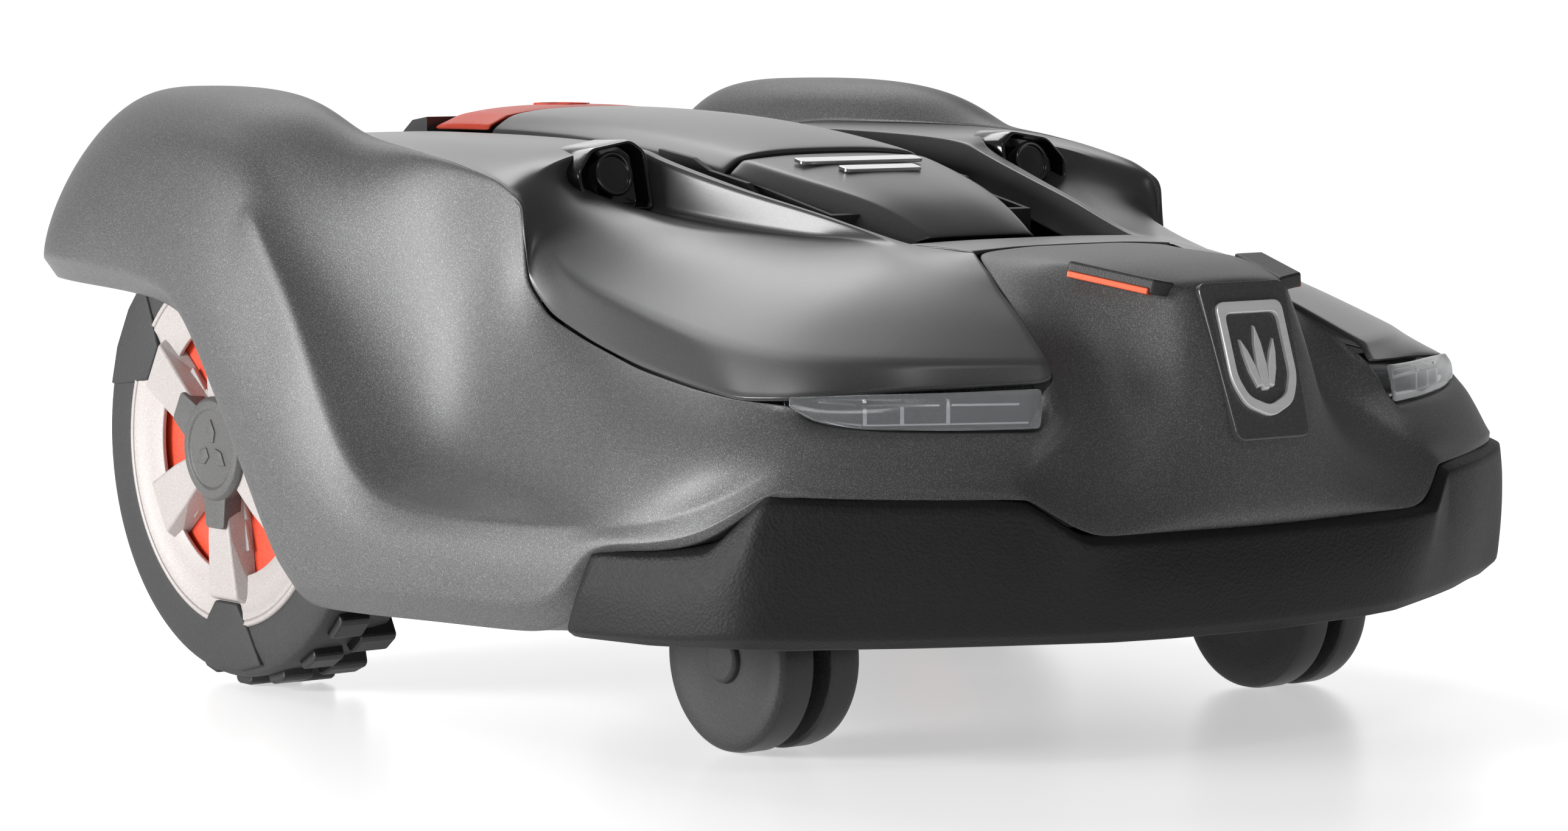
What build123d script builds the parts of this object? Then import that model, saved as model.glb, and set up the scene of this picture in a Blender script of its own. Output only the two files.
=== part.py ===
"""Robotic lawn mower: a floating body shell over a sealed chassis, on two driven rear wheels and two casters.

Millimetres. The front faces -Y, up is +Z, and the origin is on the ground under the middle of the mower.
"""
import math
import os

from build123d import *

# ---- driving dimensions -------------------------------------------------------------------
SKIN = 3.0                # wall of the moulded body panels
PANEL_GAP = 0.6           # shut line between two panels
CLEAR = 0.4               # working gap between moving parts
FIT = 0.05                # radial running clearance of a shaft in its bore
BUMP_TRAVEL = 8.0         # how far the body floats fore and aft

WHEEL_R = 123.0           # rear wheel over its lugs
WHEEL_Y = 151.0
TREAD_R = 117.0
RIM_R = 92.0
TYRE_OUT = 249.0          # outer side wall, from the middle plane
TYRE_WIDTH = 50.0
HUB_FACE = 268.0          # outer face of the hub cap
SHAFT_R = 8.0
LUGS = 24

CASTER_R = 45.0
CASTER_X = 169.0
CASTER_Y = -198.0         # swivel axis
CASTER_TRAIL = 15.0
CASTER_HALF = 24.0        # half width of the wheel pair
CASTER_ARM_T = 9.0
CASTER_STEM_R = 8.0
CASTER_AXLE_R = 4.0

CHASSIS_X = 188.0         # half width of the chassis tub
CHASSIS_FRONT = -262.0
CHASSIS_REAR = 300.0
BATTERY_BAY = 78.0        # along the mower
BATTERY_REAR = CHASSIS_REAR - 32.0
BATTERY_FRONT = BATTERY_REAR - BATTERY_BAY
BATTERY_X = 82.0          # half width of the packs
CHASSIS_BOTTOM = 100.0
CHASSIS_SPLIT = 140.0     # where the tub meets the lid
CHASSIS_TOP = 165.0
WALL = 3.0
SEAL_T = 2.0
TOWER_X = 66.0            # half width of the console tower
TOWER_FRONT = -108.0
TOWER_REAR = 252.0
PANEL_Z = 252.0           # face of the control panel

DECK_Y = 5.0              # blade disc axis
DISC_R = 105.0
DISC_Z = 42.0             # underside of the disc at rest
DISC_T = 3.0
DISC_SHAFT_R = 5.0
BLADE_PIVOT_R = 90.0
BLADE_REACH = 30.0
BLADE_WIDTH = 18.0
BLADE_T = 0.8
BLADE_PIN_R = 3.0
CARRIAGE_R = 56.0
SLEEVE_TOP = 176.0
SCREW_R = 6.0

HATCH_FRONT = -24.0
HATCH_REAR = 177.0
HATCH_X = 70.0
HATCH_HINGE_Y = -49.0
HATCH_HINGE_Z = 254.0
HINGE_PIN_R = 3.0
ARM_T = 4.0
STOP_REAR = 234.0
STOP_TRAVEL = 5.0
KEY_TRAVEL = 1.0
CONSOLE_REAR = 266.0

POST_X = 140.0            # floating posts that carry the body
POST_Y = (-176.0, 32.0)
POST_R = 11.0
POST_TOP = 200.0
SOCKET_FOOT = 176.0
ARM_FOOT = (176.0, 206.0)   # underside of the arms to the front and rear sockets

os.makedirs("parts", exist_ok=True)


# ---- small helpers --------------------------------------------------------------------------
def block(x0, x1, y0, y1, z0, z1):
    return Pos((x0 + x1) / 2, (y0 + y1) / 2, (z0 + z1) / 2) * Box(x1 - x0, y1 - y0, z1 - z0)


def upright(r, x, y, z0, z1):
    return Pos(x, y, (z0 + z1) / 2) * Cylinder(r, z1 - z0)


def across(r, x0, x1, y, z):
    """A cylinder along X."""
    return Pos((x0 + x1) / 2, y, z) * Rot(0, 90, 0) * Cylinder(r, abs(x1 - x0))


def along(r, x, y0, y1, z):
    """A cylinder along Y."""
    return Pos(x, (y0 + y1) / 2, z) * Rot(90, 0, 0) * Cylinder(r, y1 - y0)


def plan_prism(points, z0=0.0, z1=400.0):
    """A prism over an outline given as (x, y)."""
    face = make_face(Polyline(*[(x, y, z0) for x, y in points], close=True))
    return extrude(face, amount=z1 - z0, dir=(0, 0, 1))


def front_prism(points, y0, y1):
    """A prism along the mower over an outline given as (x, z)."""
    face = make_face(Polyline(*[(x, y0, z) for x, z in points], close=True))
    return extrude(face, amount=y1 - y0, dir=(0, 1, 0))


def side_prism(points, x0=-400.0, x1=400.0):
    """A prism across the mower over an outline given as (y, z)."""
    face = make_face(Polyline(*[(x0, y, z) for y, z in points], close=True))
    return extrude(face, amount=x1 - x0, dir=(1, 0, 0))


def both_sides(points):
    """The outline of one side, from the middle plane outwards, closed by its mirror image."""
    return list(points) + [(-x, y) for x, y in reversed(points) if abs(x) > 1e-6]


def mirror_x(shape):
    return mirror(shape, about=Plane.YZ)


def pair(shape):
    """A part of the left side with its mirror image."""
    return shape + mirror_x(shape)


def joined(shapes):
    total = None
    for shape in shapes:
        total = shape if total is None else total + shape
    return total


# ---- the outer form -------------------------------------------------------------------------
# Half sections at stations along Y: from the middle of the deck outwards and down to the bottom edge.
# Deck, rail, wing, wing crease, fender or seam, fender side, flank top, crease, widest, bottom edge.
FORM = [
    (-360, [(0, 98), (14, 98), (20, 97), (26, 96), (32, 95), (36, 93), (39, 90), (41, 86), (42, 78), (42, 64)]),
    (-350, [(0, 150), (22, 148), (34, 134), (48, 118), (60, 112), (68, 107), (74, 102), (79, 97), (82, 82), (82, 63)]),
    (-330, [(0, 214), (30, 211), (46, 186), (66, 156), (84, 142), (101, 130), (116, 119), (126, 109), (131, 90),
            (131, 62)]),
    (-304, [(0, 229), (42, 227), (92, 191), (106, 183), (120, 166), (150, 153), (170, 139), (186, 129), (193, 100),
            (193, 61)]),
    (-262, [(0, 232), (62, 231), (100, 204), (150, 186), (180, 176), (214, 164), (232, 146), (242, 131), (247, 100),
            (245, 60)]),
    (-215, [(0, 234), (68, 232), (130, 214), (200, 187), (221, 176), (230, 164), (243, 143), (254, 117), (260, 100),
            (258, 58)]),
    (-168, [(0, 236), (74, 235), (140, 222), (205, 196), (219, 181), (230, 169), (246, 145), (259, 113), (267, 98),
            (263, 57)]),
    (-100, [(0, 251), (94, 253), (146, 239), (205, 213), (213, 193), (224, 181), (243, 150), (261, 113), (272, 98),
            (267, 55)]),
    (-45, [(0, 263), (106, 267), (156, 253), (203, 240), (211, 222), (215, 210), (232, 170), (262, 114), (276, 98),
           (270, 54)]),
    (5, [(0, 276), (116, 278), (160, 274), (203, 270), (210, 266), (213, 250), (228, 190), (262, 117), (278, 100),
         (272, 52)]),
    (45, [(0, 280), (108, 281), (160, 280), (203, 277), (211, 274), (218, 262), (243, 208), (267, 158), (279, 120),
          (273, 52)]),
    (84, [(0, 281), (105, 282), (150, 281), (195, 281), (211, 287), (230, 279), (255, 245), (270, 205), (280, 165),
          (274, 52)]),
    (120, [(0, 282), (105, 282), (145, 282), (188, 282), (209, 300), (230, 299), (252, 280), (268, 245), (280, 180),
           (274, 52)]),
    (161, [(0, 282), (105, 282), (142, 282), (181, 283), (206, 308), (230, 307), (254, 291), (268, 264), (280, 190),
           (273, 52)]),
    (221, [(0, 280), (105, 280), (140, 280), (176, 281), (202, 310), (228, 308), (252, 289), (266, 260), (275, 205),
           (271, 120)]),
    (280, [(0, 268), (105, 268), (138, 268), (171, 272), (195, 309), (222, 303), (246, 284), (260, 255), (268, 212),
           (266, 130)]),
    (318, [(0, 250), (105, 250), (136, 250), (169, 256), (191, 303), (218, 295), (240, 273), (253, 246), (260, 212),
           (258, 135)]),
    (346, [(0, 224), (105, 224), (134, 225), (168, 234), (186, 270), (214, 262), (236, 248), (246, 232), (250, 206),
           (249, 142)]),
    (360, [(0, 200), (105, 200), (134, 201), (168, 204), (184, 226), (208, 224), (228, 216), (236, 206), (240, 190),
           (240, 150)]),
]
DIG = 70.0                # how far an inset form reaches below the bottom edge


def inset_section(points, d):
    """The half section moved inwards by d, square to its own edges."""
    ring = [(-points[1][0], points[1][1])] + points + [(points[-1][0], points[-1][1] - 50)]
    moved = []
    for before, here, after in zip(ring, points, ring[2:]):
        tx, tz = after[0] - before[0], after[1] - before[1]
        size = math.hypot(tx, tz)
        x, z = here[0] + d * tz / size, here[1] - d * tx / size
        moved.append((0.0 if here[0] == 0 else max(x, 1.0), z))
    return moved


def form(d=0.0):
    """The outer form inset by d, as one solid. An inset form reaches further down, so that it opens the bottom."""
    faces = []
    stations = FORM if not d else FORM[2:-1]
    for k, (y, points) in enumerate(stations):
        half = inset_section(points, d) if d else points
        if d:
            half = half[:-1] + [(half[-1][0], half[-1][1] - DIG)]
            y = y + d if k == 0 else y
        ring = [(x, y, z) for x, z in half] + [(-x, y, z) for x, z in reversed(half[1:])]
        faces.append(make_face(Polyline(*ring, close=True)))
    return loft(faces, ruled=True)


# outlines that divide the form into panels; x is the half width
BUMPER_SIDE = [(-149, 40), (-151, 60), (-170, 100), (-215, 101), (-243, 130), (-322, 127), (-336, 108), (-380, 108),
               (-380, 40)]
COVER_PLAN = [(0, -214), (66, -214), (99, -260), (103, -294), (108, -312), (135, -290), (170, -274), (214, -260),
              (224, -228), (218, -140), (213, -60), (212, 62), (196, 110), (176, 170), (170, 262), (160, 300),
              (0, 300)]
OPENING_PLAN = [(0, -178), (70, -178), (90, -104), (104, -14), (102, 66), (98, 262), (86, 290), (0, 290)]
ARCH_SIDE = [(420, 201), (280, 201), (196, 197), (177, 194), (164, 187), (153, 173), (134, 146), (117, 124), (96, 90),
             (82, 66), (70, 51), (64, 20), (420, 20)]
SCOOP_PLAN = [(80, -163), (106, -16), (159, -16), (150, -84)]
SCOOP_FLOOR = [(-180, 235), (-84, 239), (-10, 246), (-10, 330), (-180, 330)]


def scoops(d=0.0):
    """The hollows ahead of the distance sensors, grown by d."""
    grow = [(80 - 1.1 * d, -163 - 4 * d), (106 - 1.1 * d, -16 + d), (159 + 1.2 * d, -16 + d), (150 + 1.2 * d, -84 - d)]
    floor = [(y, z - d if z < 300 else z) for y, z in SCOOP_FLOOR]
    floor = [(y + (d + 2 if y > -20 else 0), z) for y, z in floor]
    return pair(plan_prism(grow) & side_prism(floor))


OUTER = form() - scoops()
UNDER_SKIN = form(SKIN) - scoops(SKIN)
COVER_ZONE = plan_prism(both_sides(COVER_PLAN))
OPENING = plan_prism(both_sides(OPENING_PLAN))
BUMPER_ZONE = side_prism(BUMPER_SIDE)
WHEEL_WELL = side_prism(ARCH_SIDE)


def outer_panel(shape, solids=1):
    """Keep the largest solids of a cut panel."""
    kept = sorted(shape.solids(), key=lambda s: -s.volume)[:solids]
    return kept[0] if solids == 1 else Compound(children=kept)


# ---- floating body --------------------------------------------------------------------------
def post_places():
    return [(side * POST_X, y) for side in (-1, 1) for y in POST_Y]


def cover_edge(x, y):
    """A corner of the cover's outline moved out by the shut line."""
    out = -PANEL_GAP if x < 109 and y < 0 else PANEL_GAP
    return (x + out if x > 0 else 0, y - PANEL_GAP if y < -250 or x < 70 and y < 0 else y)


def body_shell():
    """Flanks, fenders and nose in one moulding, with the sockets that drop over the floating posts."""
    slot = side_prism([(y + (PANEL_GAP if y > -160 else 0), z + (PANEL_GAP if z > 60 else 0)) for y, z in BUMPER_SIDE])
    wide = plan_prism(both_sides([cover_edge(x, y) for x, y in COVER_PLAN]))
    skin = OUTER - UNDER_SKIN - wide - WHEEL_WELL - slot - lamp_zone(0.3)
    skin = outer_panel(skin)
    cells = [skin]
    for x, y in post_places():
        arm = block(min(x, x * 1.6), max(x, x * 1.6), y - 7, y + 7, ARM_FOOT[POST_Y.index(y)], 400)
        cells.append((arm + upright(POST_R + 4, x, y, SOCKET_FOOT, 400)) & UNDER_SKIN)
    shell = joined(cells)
    for x, y in post_places():
        shell = shell - upright(POST_R + CLEAR, x, y, 100, POST_TOP + CLEAR)
    return outer_panel(shell)


def top_cover():
    """The sculpted cover between the fenders, open in the middle for the console."""
    skin = ((OUTER - UNDER_SKIN) & COVER_ZONE) - OPENING
    curb_in = plan_prism(both_sides([(x + (3 if x > 0 else 0), y + (-3 if y < 0 else 3)) for x, y in OPENING_PLAN]))
    band = form(SKIN - 0.2) & side_prism([(-400, 400), (-400, 215), (-30, 256), (400, 262), (400, 400)])
    curb = (curb_in - OPENING) & band
    cover = skin + curb
    for side in (-1, 1):
        cover = cover - along(13.3, side * 139, -40, 12, 262)
    return outer_panel(cover)


def lamp_zone(grow=0.0):
    """Where a headlamp lens sits under the front edge of the cover, on both sides."""
    points = [(112 - grow, -322 - grow), (214 + grow, -268 - grow), (207 + grow, -250 + grow), (106 - grow, -300 + grow)]
    lift = [(-400, 150 - grow), (-200, 150 - grow), (-200, 168 + grow), (-300, 164 + grow), (-400, 160 + grow)]
    return pair(plan_prism(points) & side_prism(lift))


def headlight_lens():
    return (OUTER & lamp_zone()) - plan_prism(both_sides(COVER_PLAN))


def front_bumper():
    """A soft belt round the nose, hollowed behind for the casters."""
    belt = (OUTER & BUMPER_ZONE) - form(14.0)
    return outer_panel(belt)


def sensor_pod():
    """Distance sensor in the mouth of each pod, looking forward."""
    can = along(13, -139, -12, 11, 262) - along(10, -139, -13, -8, 262)
    return pair(can)


def nose_badge():
    """A plain plate let into the nose."""
    plate = Pos(0, -340, 186) * Rot(-17.4, 0, 0) * Box(34, 4, 44)
    return outer_panel(plate - OUTER)


def charge_contacts():
    """Two bars along the edges of the nose that meet the charging station."""
    bar = Pos(-50, -300, 217) * Rot(0, 0, -66) * Rot(0, 22, 0) * Box(54, 7, 8)
    return pair(bar - OUTER)


# ---- chassis --------------------------------------------------------------------------------
def chassis_plan(inset=0.0):
    front = [(0, CHASSIS_FRONT + inset), (104 - inset, CHASSIS_FRONT + inset), (126 - inset, -238 + inset * 0.5),
             (CHASSIS_X - inset, -222 + inset), (CHASSIS_X - inset, 236 - inset * 0.3),
             (150 - inset, CHASSIS_REAR - inset), (0, CHASSIS_REAR - inset)]
    return both_sides(front)


def motor_bore():
    return pair(across(SHAFT_R + FIT, -(CHASSIS_X + 20), -CHASSIS_X + 20, WHEEL_Y, WHEEL_R))


def chassis_lower():
    """Tub with the sleeve of the cutting deck, caster bosses, shaft bosses and the battery opening."""
    tub = plan_prism(chassis_plan(), CHASSIS_BOTTOM, CHASSIS_SPLIT)
    tub = tub - plan_prism(chassis_plan(WALL), CHASSIS_BOTTOM + WALL, CHASSIS_SPLIT + 10)
    sleeve = upright(CARRIAGE_R + CLEAR + WALL, 0, DECK_Y, CHASSIS_BOTTOM, SLEEVE_TOP)
    caster_boss = [upright(14, side * CASTER_X, CASTER_Y, CHASSIS_BOTTOM, CHASSIS_SPLIT - 2) for side in (-1, 1)]
    cradle = pair(block(-CHASSIS_X, -110, WHEEL_Y - 26, WHEEL_Y + 26, CHASSIS_BOTTOM, WHEEL_R))
    tub = joined([tub, sleeve, cradle] + caster_boss)
    tub = tub - upright(CARRIAGE_R + CLEAR, 0, DECK_Y, CHASSIS_BOTTOM - 1, SLEEVE_TOP - WALL)
    for side in (-1, 1):
        tub = tub - upright(CASTER_STEM_R + FIT, side * CASTER_X, CASTER_Y, CHASSIS_BOTTOM - 1, CHASSIS_SPLIT - 6)
    tub = tub + pair(block(-CARRIAGE_R - CLEAR - 0.5, -CARRIAGE_R + 3.4, DECK_Y - 4, DECK_Y + 4, CHASSIS_BOTTOM,
                           SLEEVE_TOP - WALL))
    tub = tub - pair(across(20.2, -CHASSIS_X + WALL, -108, WHEEL_Y, WHEEL_R)) - motor_bore()
    bay = block(-BATTERY_X - 4, BATTERY_X + 4, BATTERY_FRONT - 4, BATTERY_REAR + 4, CHASSIS_BOTTOM - 1, CHASSIS_BOTTOM + 20)
    tub = tub - bay
    rim = block(-BATTERY_X - 12, BATTERY_X + 12, BATTERY_FRONT - 12, BATTERY_REAR + 12, CHASSIS_BOTTOM + WALL,
                CHASSIS_BOTTOM + 2 * WALL)
    tub = tub + (rim - bay)
    for x, y in cover_screws():
        tub = tub - upright(2.0, x, y, CHASSIS_BOTTOM - 1, CHASSIS_BOTTOM + 2 * WALL + 1)
    return tub


def cover_screws():
    return [(side * 90.0, y) for side in (-1, 1) for y in (BATTERY_FRONT, BATTERY_REAR)]


def chassis_upper():
    """Lid with the console tower, the guides of the floating posts and the motor caps."""
    lid = plan_prism(chassis_plan(), CHASSIS_SPLIT + SEAL_T, CHASSIS_TOP)
    lid = lid - plan_prism(chassis_plan(WALL), CHASSIS_SPLIT, CHASSIS_TOP - WALL)
    tower = side_prism([(TOWER_FRONT, CHASSIS_TOP - WALL), (TOWER_REAR, CHASSIS_TOP - WALL), (TOWER_REAR, 276),
                        (170, 276), (-14, 265), (-26, 264), (TOWER_FRONT, 246)], -TOWER_X, TOWER_X)
    room = block(-TOWER_X + WALL, TOWER_X - WALL, TOWER_FRONT + WALL, TOWER_REAR - WALL, CHASSIS_SPLIT, 400)
    lid = lid + tower - room
    for x, y in post_places():
        guide = block(x - 21, x + 21, y - 28, y + 28, CHASSIS_TOP - 0.5, CHASSIS_TOP + 6)
        lid = lid + guide - block(x - 16.4, x + 16.4, y - 16 - BUMP_TRAVEL - CLEAR, y + 16 + BUMP_TRAVEL + CLEAR,
                                  CHASSIS_TOP, CHASSIS_TOP + 20)
    saddle = pair(block(-CHASSIS_X, -110, WHEEL_Y - 26, WHEEL_Y + 26, CHASSIS_SPLIT + SEAL_T, CHASSIS_TOP - 1))
    lid = lid + saddle - pair(across(20.2, -CHASSIS_X + WALL, -108, WHEEL_Y, WHEEL_R)) - motor_bore()
    lid = lid - upright(CARRIAGE_R + WALL + 2, 0, DECK_Y, CHASSIS_SPLIT, SLEEVE_TOP + 2)
    for side in (-1, 1):
        lid = lid - across(HINGE_PIN_R + FIT, side * 40, side * 80, HATCH_HINGE_Y, HATCH_HINGE_Z)
        lid = lid - upright(CASTER_STEM_R + 7, side * CASTER_X, CASTER_Y, CHASSIS_SPLIT, CHASSIS_SPLIT + 6)
    return lid


def chassis_seal():
    ring = plan_prism(chassis_plan(0.4), CHASSIS_SPLIT, CHASSIS_SPLIT + SEAL_T)
    return ring - plan_prism(chassis_plan(WALL - 0.4), CHASSIS_SPLIT - 1, CHASSIS_SPLIT + SEAL_T + 1) - motor_bore()


def battery_packs():
    packs = pair(block(-BATTERY_X, -3, BATTERY_FRONT, BATTERY_REAR, CHASSIS_BOTTOM + WALL + 0.2, CHASSIS_SPLIT - 4))
    return packs


def battery_cover():
    plate = block(-BATTERY_X - 2, BATTERY_X + 2, BATTERY_FRONT - 2, BATTERY_REAR + 2, CHASSIS_BOTTOM - 2, CHASSIS_BOTTOM + WALL)
    flange = block(-BATTERY_X - 16, BATTERY_X + 16, BATTERY_FRONT - 8, BATTERY_REAR + 8, CHASSIS_BOTTOM - 5, CHASSIS_BOTTOM)
    cover = plate + flange
    for x, y in cover_screws():
        cover = cover - upright(2.0, x, y, CHASSIS_BOTTOM - 10, CHASSIS_BOTTOM + 10)
        cover = cover - upright(4.5, x, y, CHASSIS_BOTTOM - 10, CHASSIS_BOTTOM - 2)
    return cover


def cover_screw_set():
    return joined([upright(4.3, x, y, CHASSIS_BOTTOM - 4.8, CHASSIS_BOTTOM - 2) +
                   upright(1.98, x, y, CHASSIS_BOTTOM - 3, CHASSIS_BOTTOM + 2 * WALL + 4) for x, y in cover_screws()])


def wheel_motor():
    """Gear motor of the left wheel, lying across the tub."""
    body = across(20, -CHASSIS_X + WALL + 0.2, -112, WHEEL_Y, WHEEL_R)
    return body - across(SHAFT_R + FIT, -CHASSIS_X, -150, WHEEL_Y, WHEEL_R)


def circuit_board():
    """Main board, hung under the control panel on four pegs."""
    board = block(-54, 54, 92, 176, 216, 217.6)
    chips = [block(-30, -8, 110, 132, 217.6, 221), block(10, 38, 140, 156, 217.6, 223), block(14, 26, 104, 116, 217.6, 220)]
    return joined([board] + chips)


# ---- console --------------------------------------------------------------------------------
def key_layout():
    """Name, middle and half size of each key on the control panel."""
    keys = [("key_power", -38, 20, 8, 7), ("key_start", 38, 20, 8, 7), ("key_home", -38, 46, 8, 7),
            ("key_back", 38, 46, 8, 7), ("key_up", 0, 20, 8, 5), ("key_down", 0, 46, 8, 5),
            ("key_accept", 0, 33, 7, 5)]
    return keys


def control_panel():
    """Panel under the hatch, with a window for the display and an opening for each key."""
    plate = block(-TOWER_X + WALL + 0.1, TOWER_X - WALL - 0.1, TOWER_FRONT + 78, STOP_REAR - 66, PANEL_Z - 3, PANEL_Z)
    wall = block(-TOWER_X + WALL + 0.1, TOWER_X - WALL - 0.1, STOP_REAR - 70, STOP_REAR - 66, PANEL_Z - 3, PANEL_Z + 10)
    pegs = [upright(3, x, y, 217.6, PANEL_Z - 3) for x in (-50, 50) for y in (96, 160)]
    wells = [block(x - a - 3, x + a + 3, y - b - 3, y + b + 3, PANEL_Z - 11, PANEL_Z - 2) for _, x, y, a, b in key_layout()]
    panel = joined([plate, wall] + pegs + wells)
    panel = panel - block(-40.2, 40.2, 69.8, 120.2, PANEL_Z - 1.6, PANEL_Z + 1) - block(-36, 36, 74, 116, 200, 300)
    for _, x, y, a, b in key_layout():
        panel = panel - block(x - a - CLEAR, x + a + CLEAR, y - b - CLEAR, y + b + CLEAR, PANEL_Z - 8, PANEL_Z + 1)
    return panel


def display_window():
    return block(-40, 40, 70, 120, PANEL_Z - 1.6, PANEL_Z)


def key(x, y, a, b):
    cap = block(x - a, x + a, y - b, y + b, PANEL_Z - 8 + KEY_TRAVEL + CLEAR, PANEL_Z + 2.2)
    return fillet(cap.edges().group_by(Axis.Z)[-1], 0.8)


def console_front():
    """Fixed cover ahead of the hatch."""
    plan = both_sides([(0, -143), (37, -143), (41, -124), (60, -52), (67, -25), (0, -25)])
    top = side_prism([(-143, 237), (-124, 252), (-70, 264), (-28.4, 275), (-25.2, 271), (-25.2, 260), (-110, 240),
                      (-128, 232), (-143, 232)])
    cap = plan_prism(plan) & top
    hollow = plan_prism(both_sides([(0, -139), (33, -139), (38, -122), (57, -51), (63, -20), (0, -20)]))
    hollow = hollow & side_prism([(-139, 234), (-122, 248), (-70, 260), (-20, 272), (-20, 200), (-139, 200)])
    cap = cap - hollow
    skirt = plan_prism(plan, 236, 300) & side_prism([(-128, 232), (-104, 238), (-25, 256), (-25, 262), (-110, 247)])
    cap = cap + (skirt - plan_prism(both_sides([(0, -139), (33, -139), (38, -122), (57, -51), (63, -20), (0, -20)])))
    return cap - (tower_keepout())


def tower_keepout():
    """The room of the tower walls and of the hatch arms."""
    wall = side_prism([(TOWER_FRONT - 0.1, 100), (400, 100), (400, 276), (170, 276), (-14, 265.2), (-26, 264.2),
                       (TOWER_FRONT - 0.1, 246.2)], -TOWER_X - 0.1, TOWER_X + 0.1)
    pins = pair(across(HINGE_PIN_R + 2, -90, -40, HATCH_HINGE_Y, HATCH_HINGE_Z))
    return wall + pins


def console_rear():
    """Black rear part of the console with the well of the stop button and the carrying handle."""
    body = side_prism([(HATCH_REAR + 4, 276), (HATCH_REAR + 4, 277.5), (STOP_REAR + 4, 277.5), (STOP_REAR + 4, 288),
                       (252, 286), (CONSOLE_REAR, 276), (CONSOLE_REAR + 2, 250), (CONSOLE_REAR - 4, 236),
                       (TOWER_REAR, 236), (TOWER_REAR, 276)], -TOWER_X - 2, TOWER_X + 2)
    grip = block(-44, 44, TOWER_REAR + 6, CONSOLE_REAR + 6, 240, 262)
    return body - grip - stop_stem(CLEAR)


LID_SLOPE = [(-HATCH_X, 200), (-HATCH_X, 282), (-56, 300), (56, 300), (HATCH_X, 282), (HATCH_X, 200)]
LID_ROOM = [(-HATCH_X + 3, 200), (-HATCH_X + 3, 281), (-55, 296), (55, 296), (HATCH_X - 3, 281), (HATCH_X - 3, 200)]


def hatch():
    """Lid over the control panel, on two arms that reach forward beside the console."""
    top = side_prism([(HATCH_FRONT, 271), (HATCH_FRONT - 3, 275.4), (HATCH_FRONT - 3.4, 278), (0, 283), (50, 290), (100, 293), (HATCH_REAR, 294.5),
                      (HATCH_REAR, 280), (150, 279.6), (0, 271)], -HATCH_X, HATCH_X)
    under = side_prism([(HATCH_FRONT + 3, 200), (HATCH_FRONT + 3, 274), (0, 279.5), (50, 286.5), (100, 289.5),
                        (HATCH_REAR - 3, 291), (HATCH_REAR - 3, 200)], -HATCH_X + 3, HATCH_X - 3)
    lid = (top & front_prism(LID_SLOPE, -100, 300)) - (under & front_prism(LID_ROOM, -100, 300))
    arm = side_prism([(HATCH_HINGE_Y - 6, 248), (HATCH_HINGE_Y + 4, 247.5), (6, 262), (22, 273), (22, 279), (-6, 276),
                      (-18, 270), (HATCH_HINGE_Y - 2, 260.5), (HATCH_HINGE_Y - 7, 255)], -HATCH_X - ARM_T, -HATCH_X)
    arms = pair(arm + across(HINGE_PIN_R, -HATCH_X - 1, -TOWER_X + 8, HATCH_HINGE_Y, HATCH_HINGE_Z))
    return lid + arms


def stop_stem(grow=0.0):
    low = 262 if grow == 0 else 200
    return block(-30 - grow, 30 + grow, HATCH_REAR + 10 - grow, STOP_REAR - 12 + grow, low, 284 + grow)


def stop_button():
    """Stop button behind the hatch, pressed straight down."""
    cap = side_prism([(HATCH_REAR + 2, 283), (HATCH_REAR + 2, 294.5), (STOP_REAR - 10, 296), (STOP_REAR, 291),
                      (STOP_REAR, 283)], -HATCH_X, HATCH_X) & front_prism(LID_SLOPE, 0, 300)
    return cap + stop_stem()


def stop_frame():
    """Bridge across the tower that guides the stem of the stop button."""
    plate = block(-TOWER_X + WALL, TOWER_X - WALL, HATCH_REAR - 7, TOWER_REAR - WALL, 254, 276)
    return plate - block(-TOWER_X + 8, TOWER_X - 8, HATCH_REAR - 2, TOWER_REAR - 8, 250, 270) - stop_stem(CLEAR)


# ---- floating posts -------------------------------------------------------------------------
def float_posts():
    """Four posts on sliding feet, each with a pin that stands in a socket of the body."""
    posts = []
    for x, y in post_places():
        foot = block(x - 16, x + 16, y - 16, y + 16, CHASSIS_TOP + CLEAR, CHASSIS_TOP + 5)
        pin = upright(POST_R, x, y, CHASSIS_TOP + 4, POST_TOP)
        pin = chamfer(pin.edges().group_by(Axis.Z)[-1], 1.5)
        posts.append(foot + pin)
    return Compound(children=posts)


# ---- rear wheels ----------------------------------------------------------------------------
def revolved(profile):
    """A ring about the axle of the left wheel, from an outline given as (radius, x)."""
    face = make_face(Polyline(*[(x, WHEEL_Y, WHEEL_R + r) for r, x in profile], close=True))
    return revolve(face, axis=Axis((0, WHEEL_Y, WHEEL_R), (1, 0, 0)))


TYRE_IN = TYRE_OUT - TYRE_WIDTH


def tyre():
    ring = revolved([(RIM_R, -TYRE_IN), (RIM_R, -TYRE_OUT - 2), (101, -TYRE_OUT - 3), (112, -TYRE_OUT),
                     (TREAD_R, -TYRE_OUT + 5), (TREAD_R, -TYRE_IN - 5), (112, -TYRE_IN)])
    lugs = []
    for k in range(LUGS):
        for half, turn in ((-1, 0.0), (1, 0.5)):
            x = -(TYRE_IN + TYRE_OUT) / 2 + half * 11.5
            lug = Pos(x, 0, TREAD_R + 1.4) * Rot(0, 0, half * 24) * Box(21, 13, 9)
            lugs.append(Pos(0, WHEEL_Y, WHEEL_R) * Rot((k + turn) * 360 / LUGS, 0, 0) * lug)
    band = revolved([(80, -TYRE_IN - 2), (80, -TYRE_OUT + 2), (WHEEL_R - 3, -TYRE_OUT + 3), (WHEEL_R, -TYRE_OUT + 8),
                     (WHEEL_R, -TYRE_IN - 8), (WHEEL_R - 3, -TYRE_IN - 3)])
    knobs = Compound(children=lugs) & band
    return ring + knobs


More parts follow.
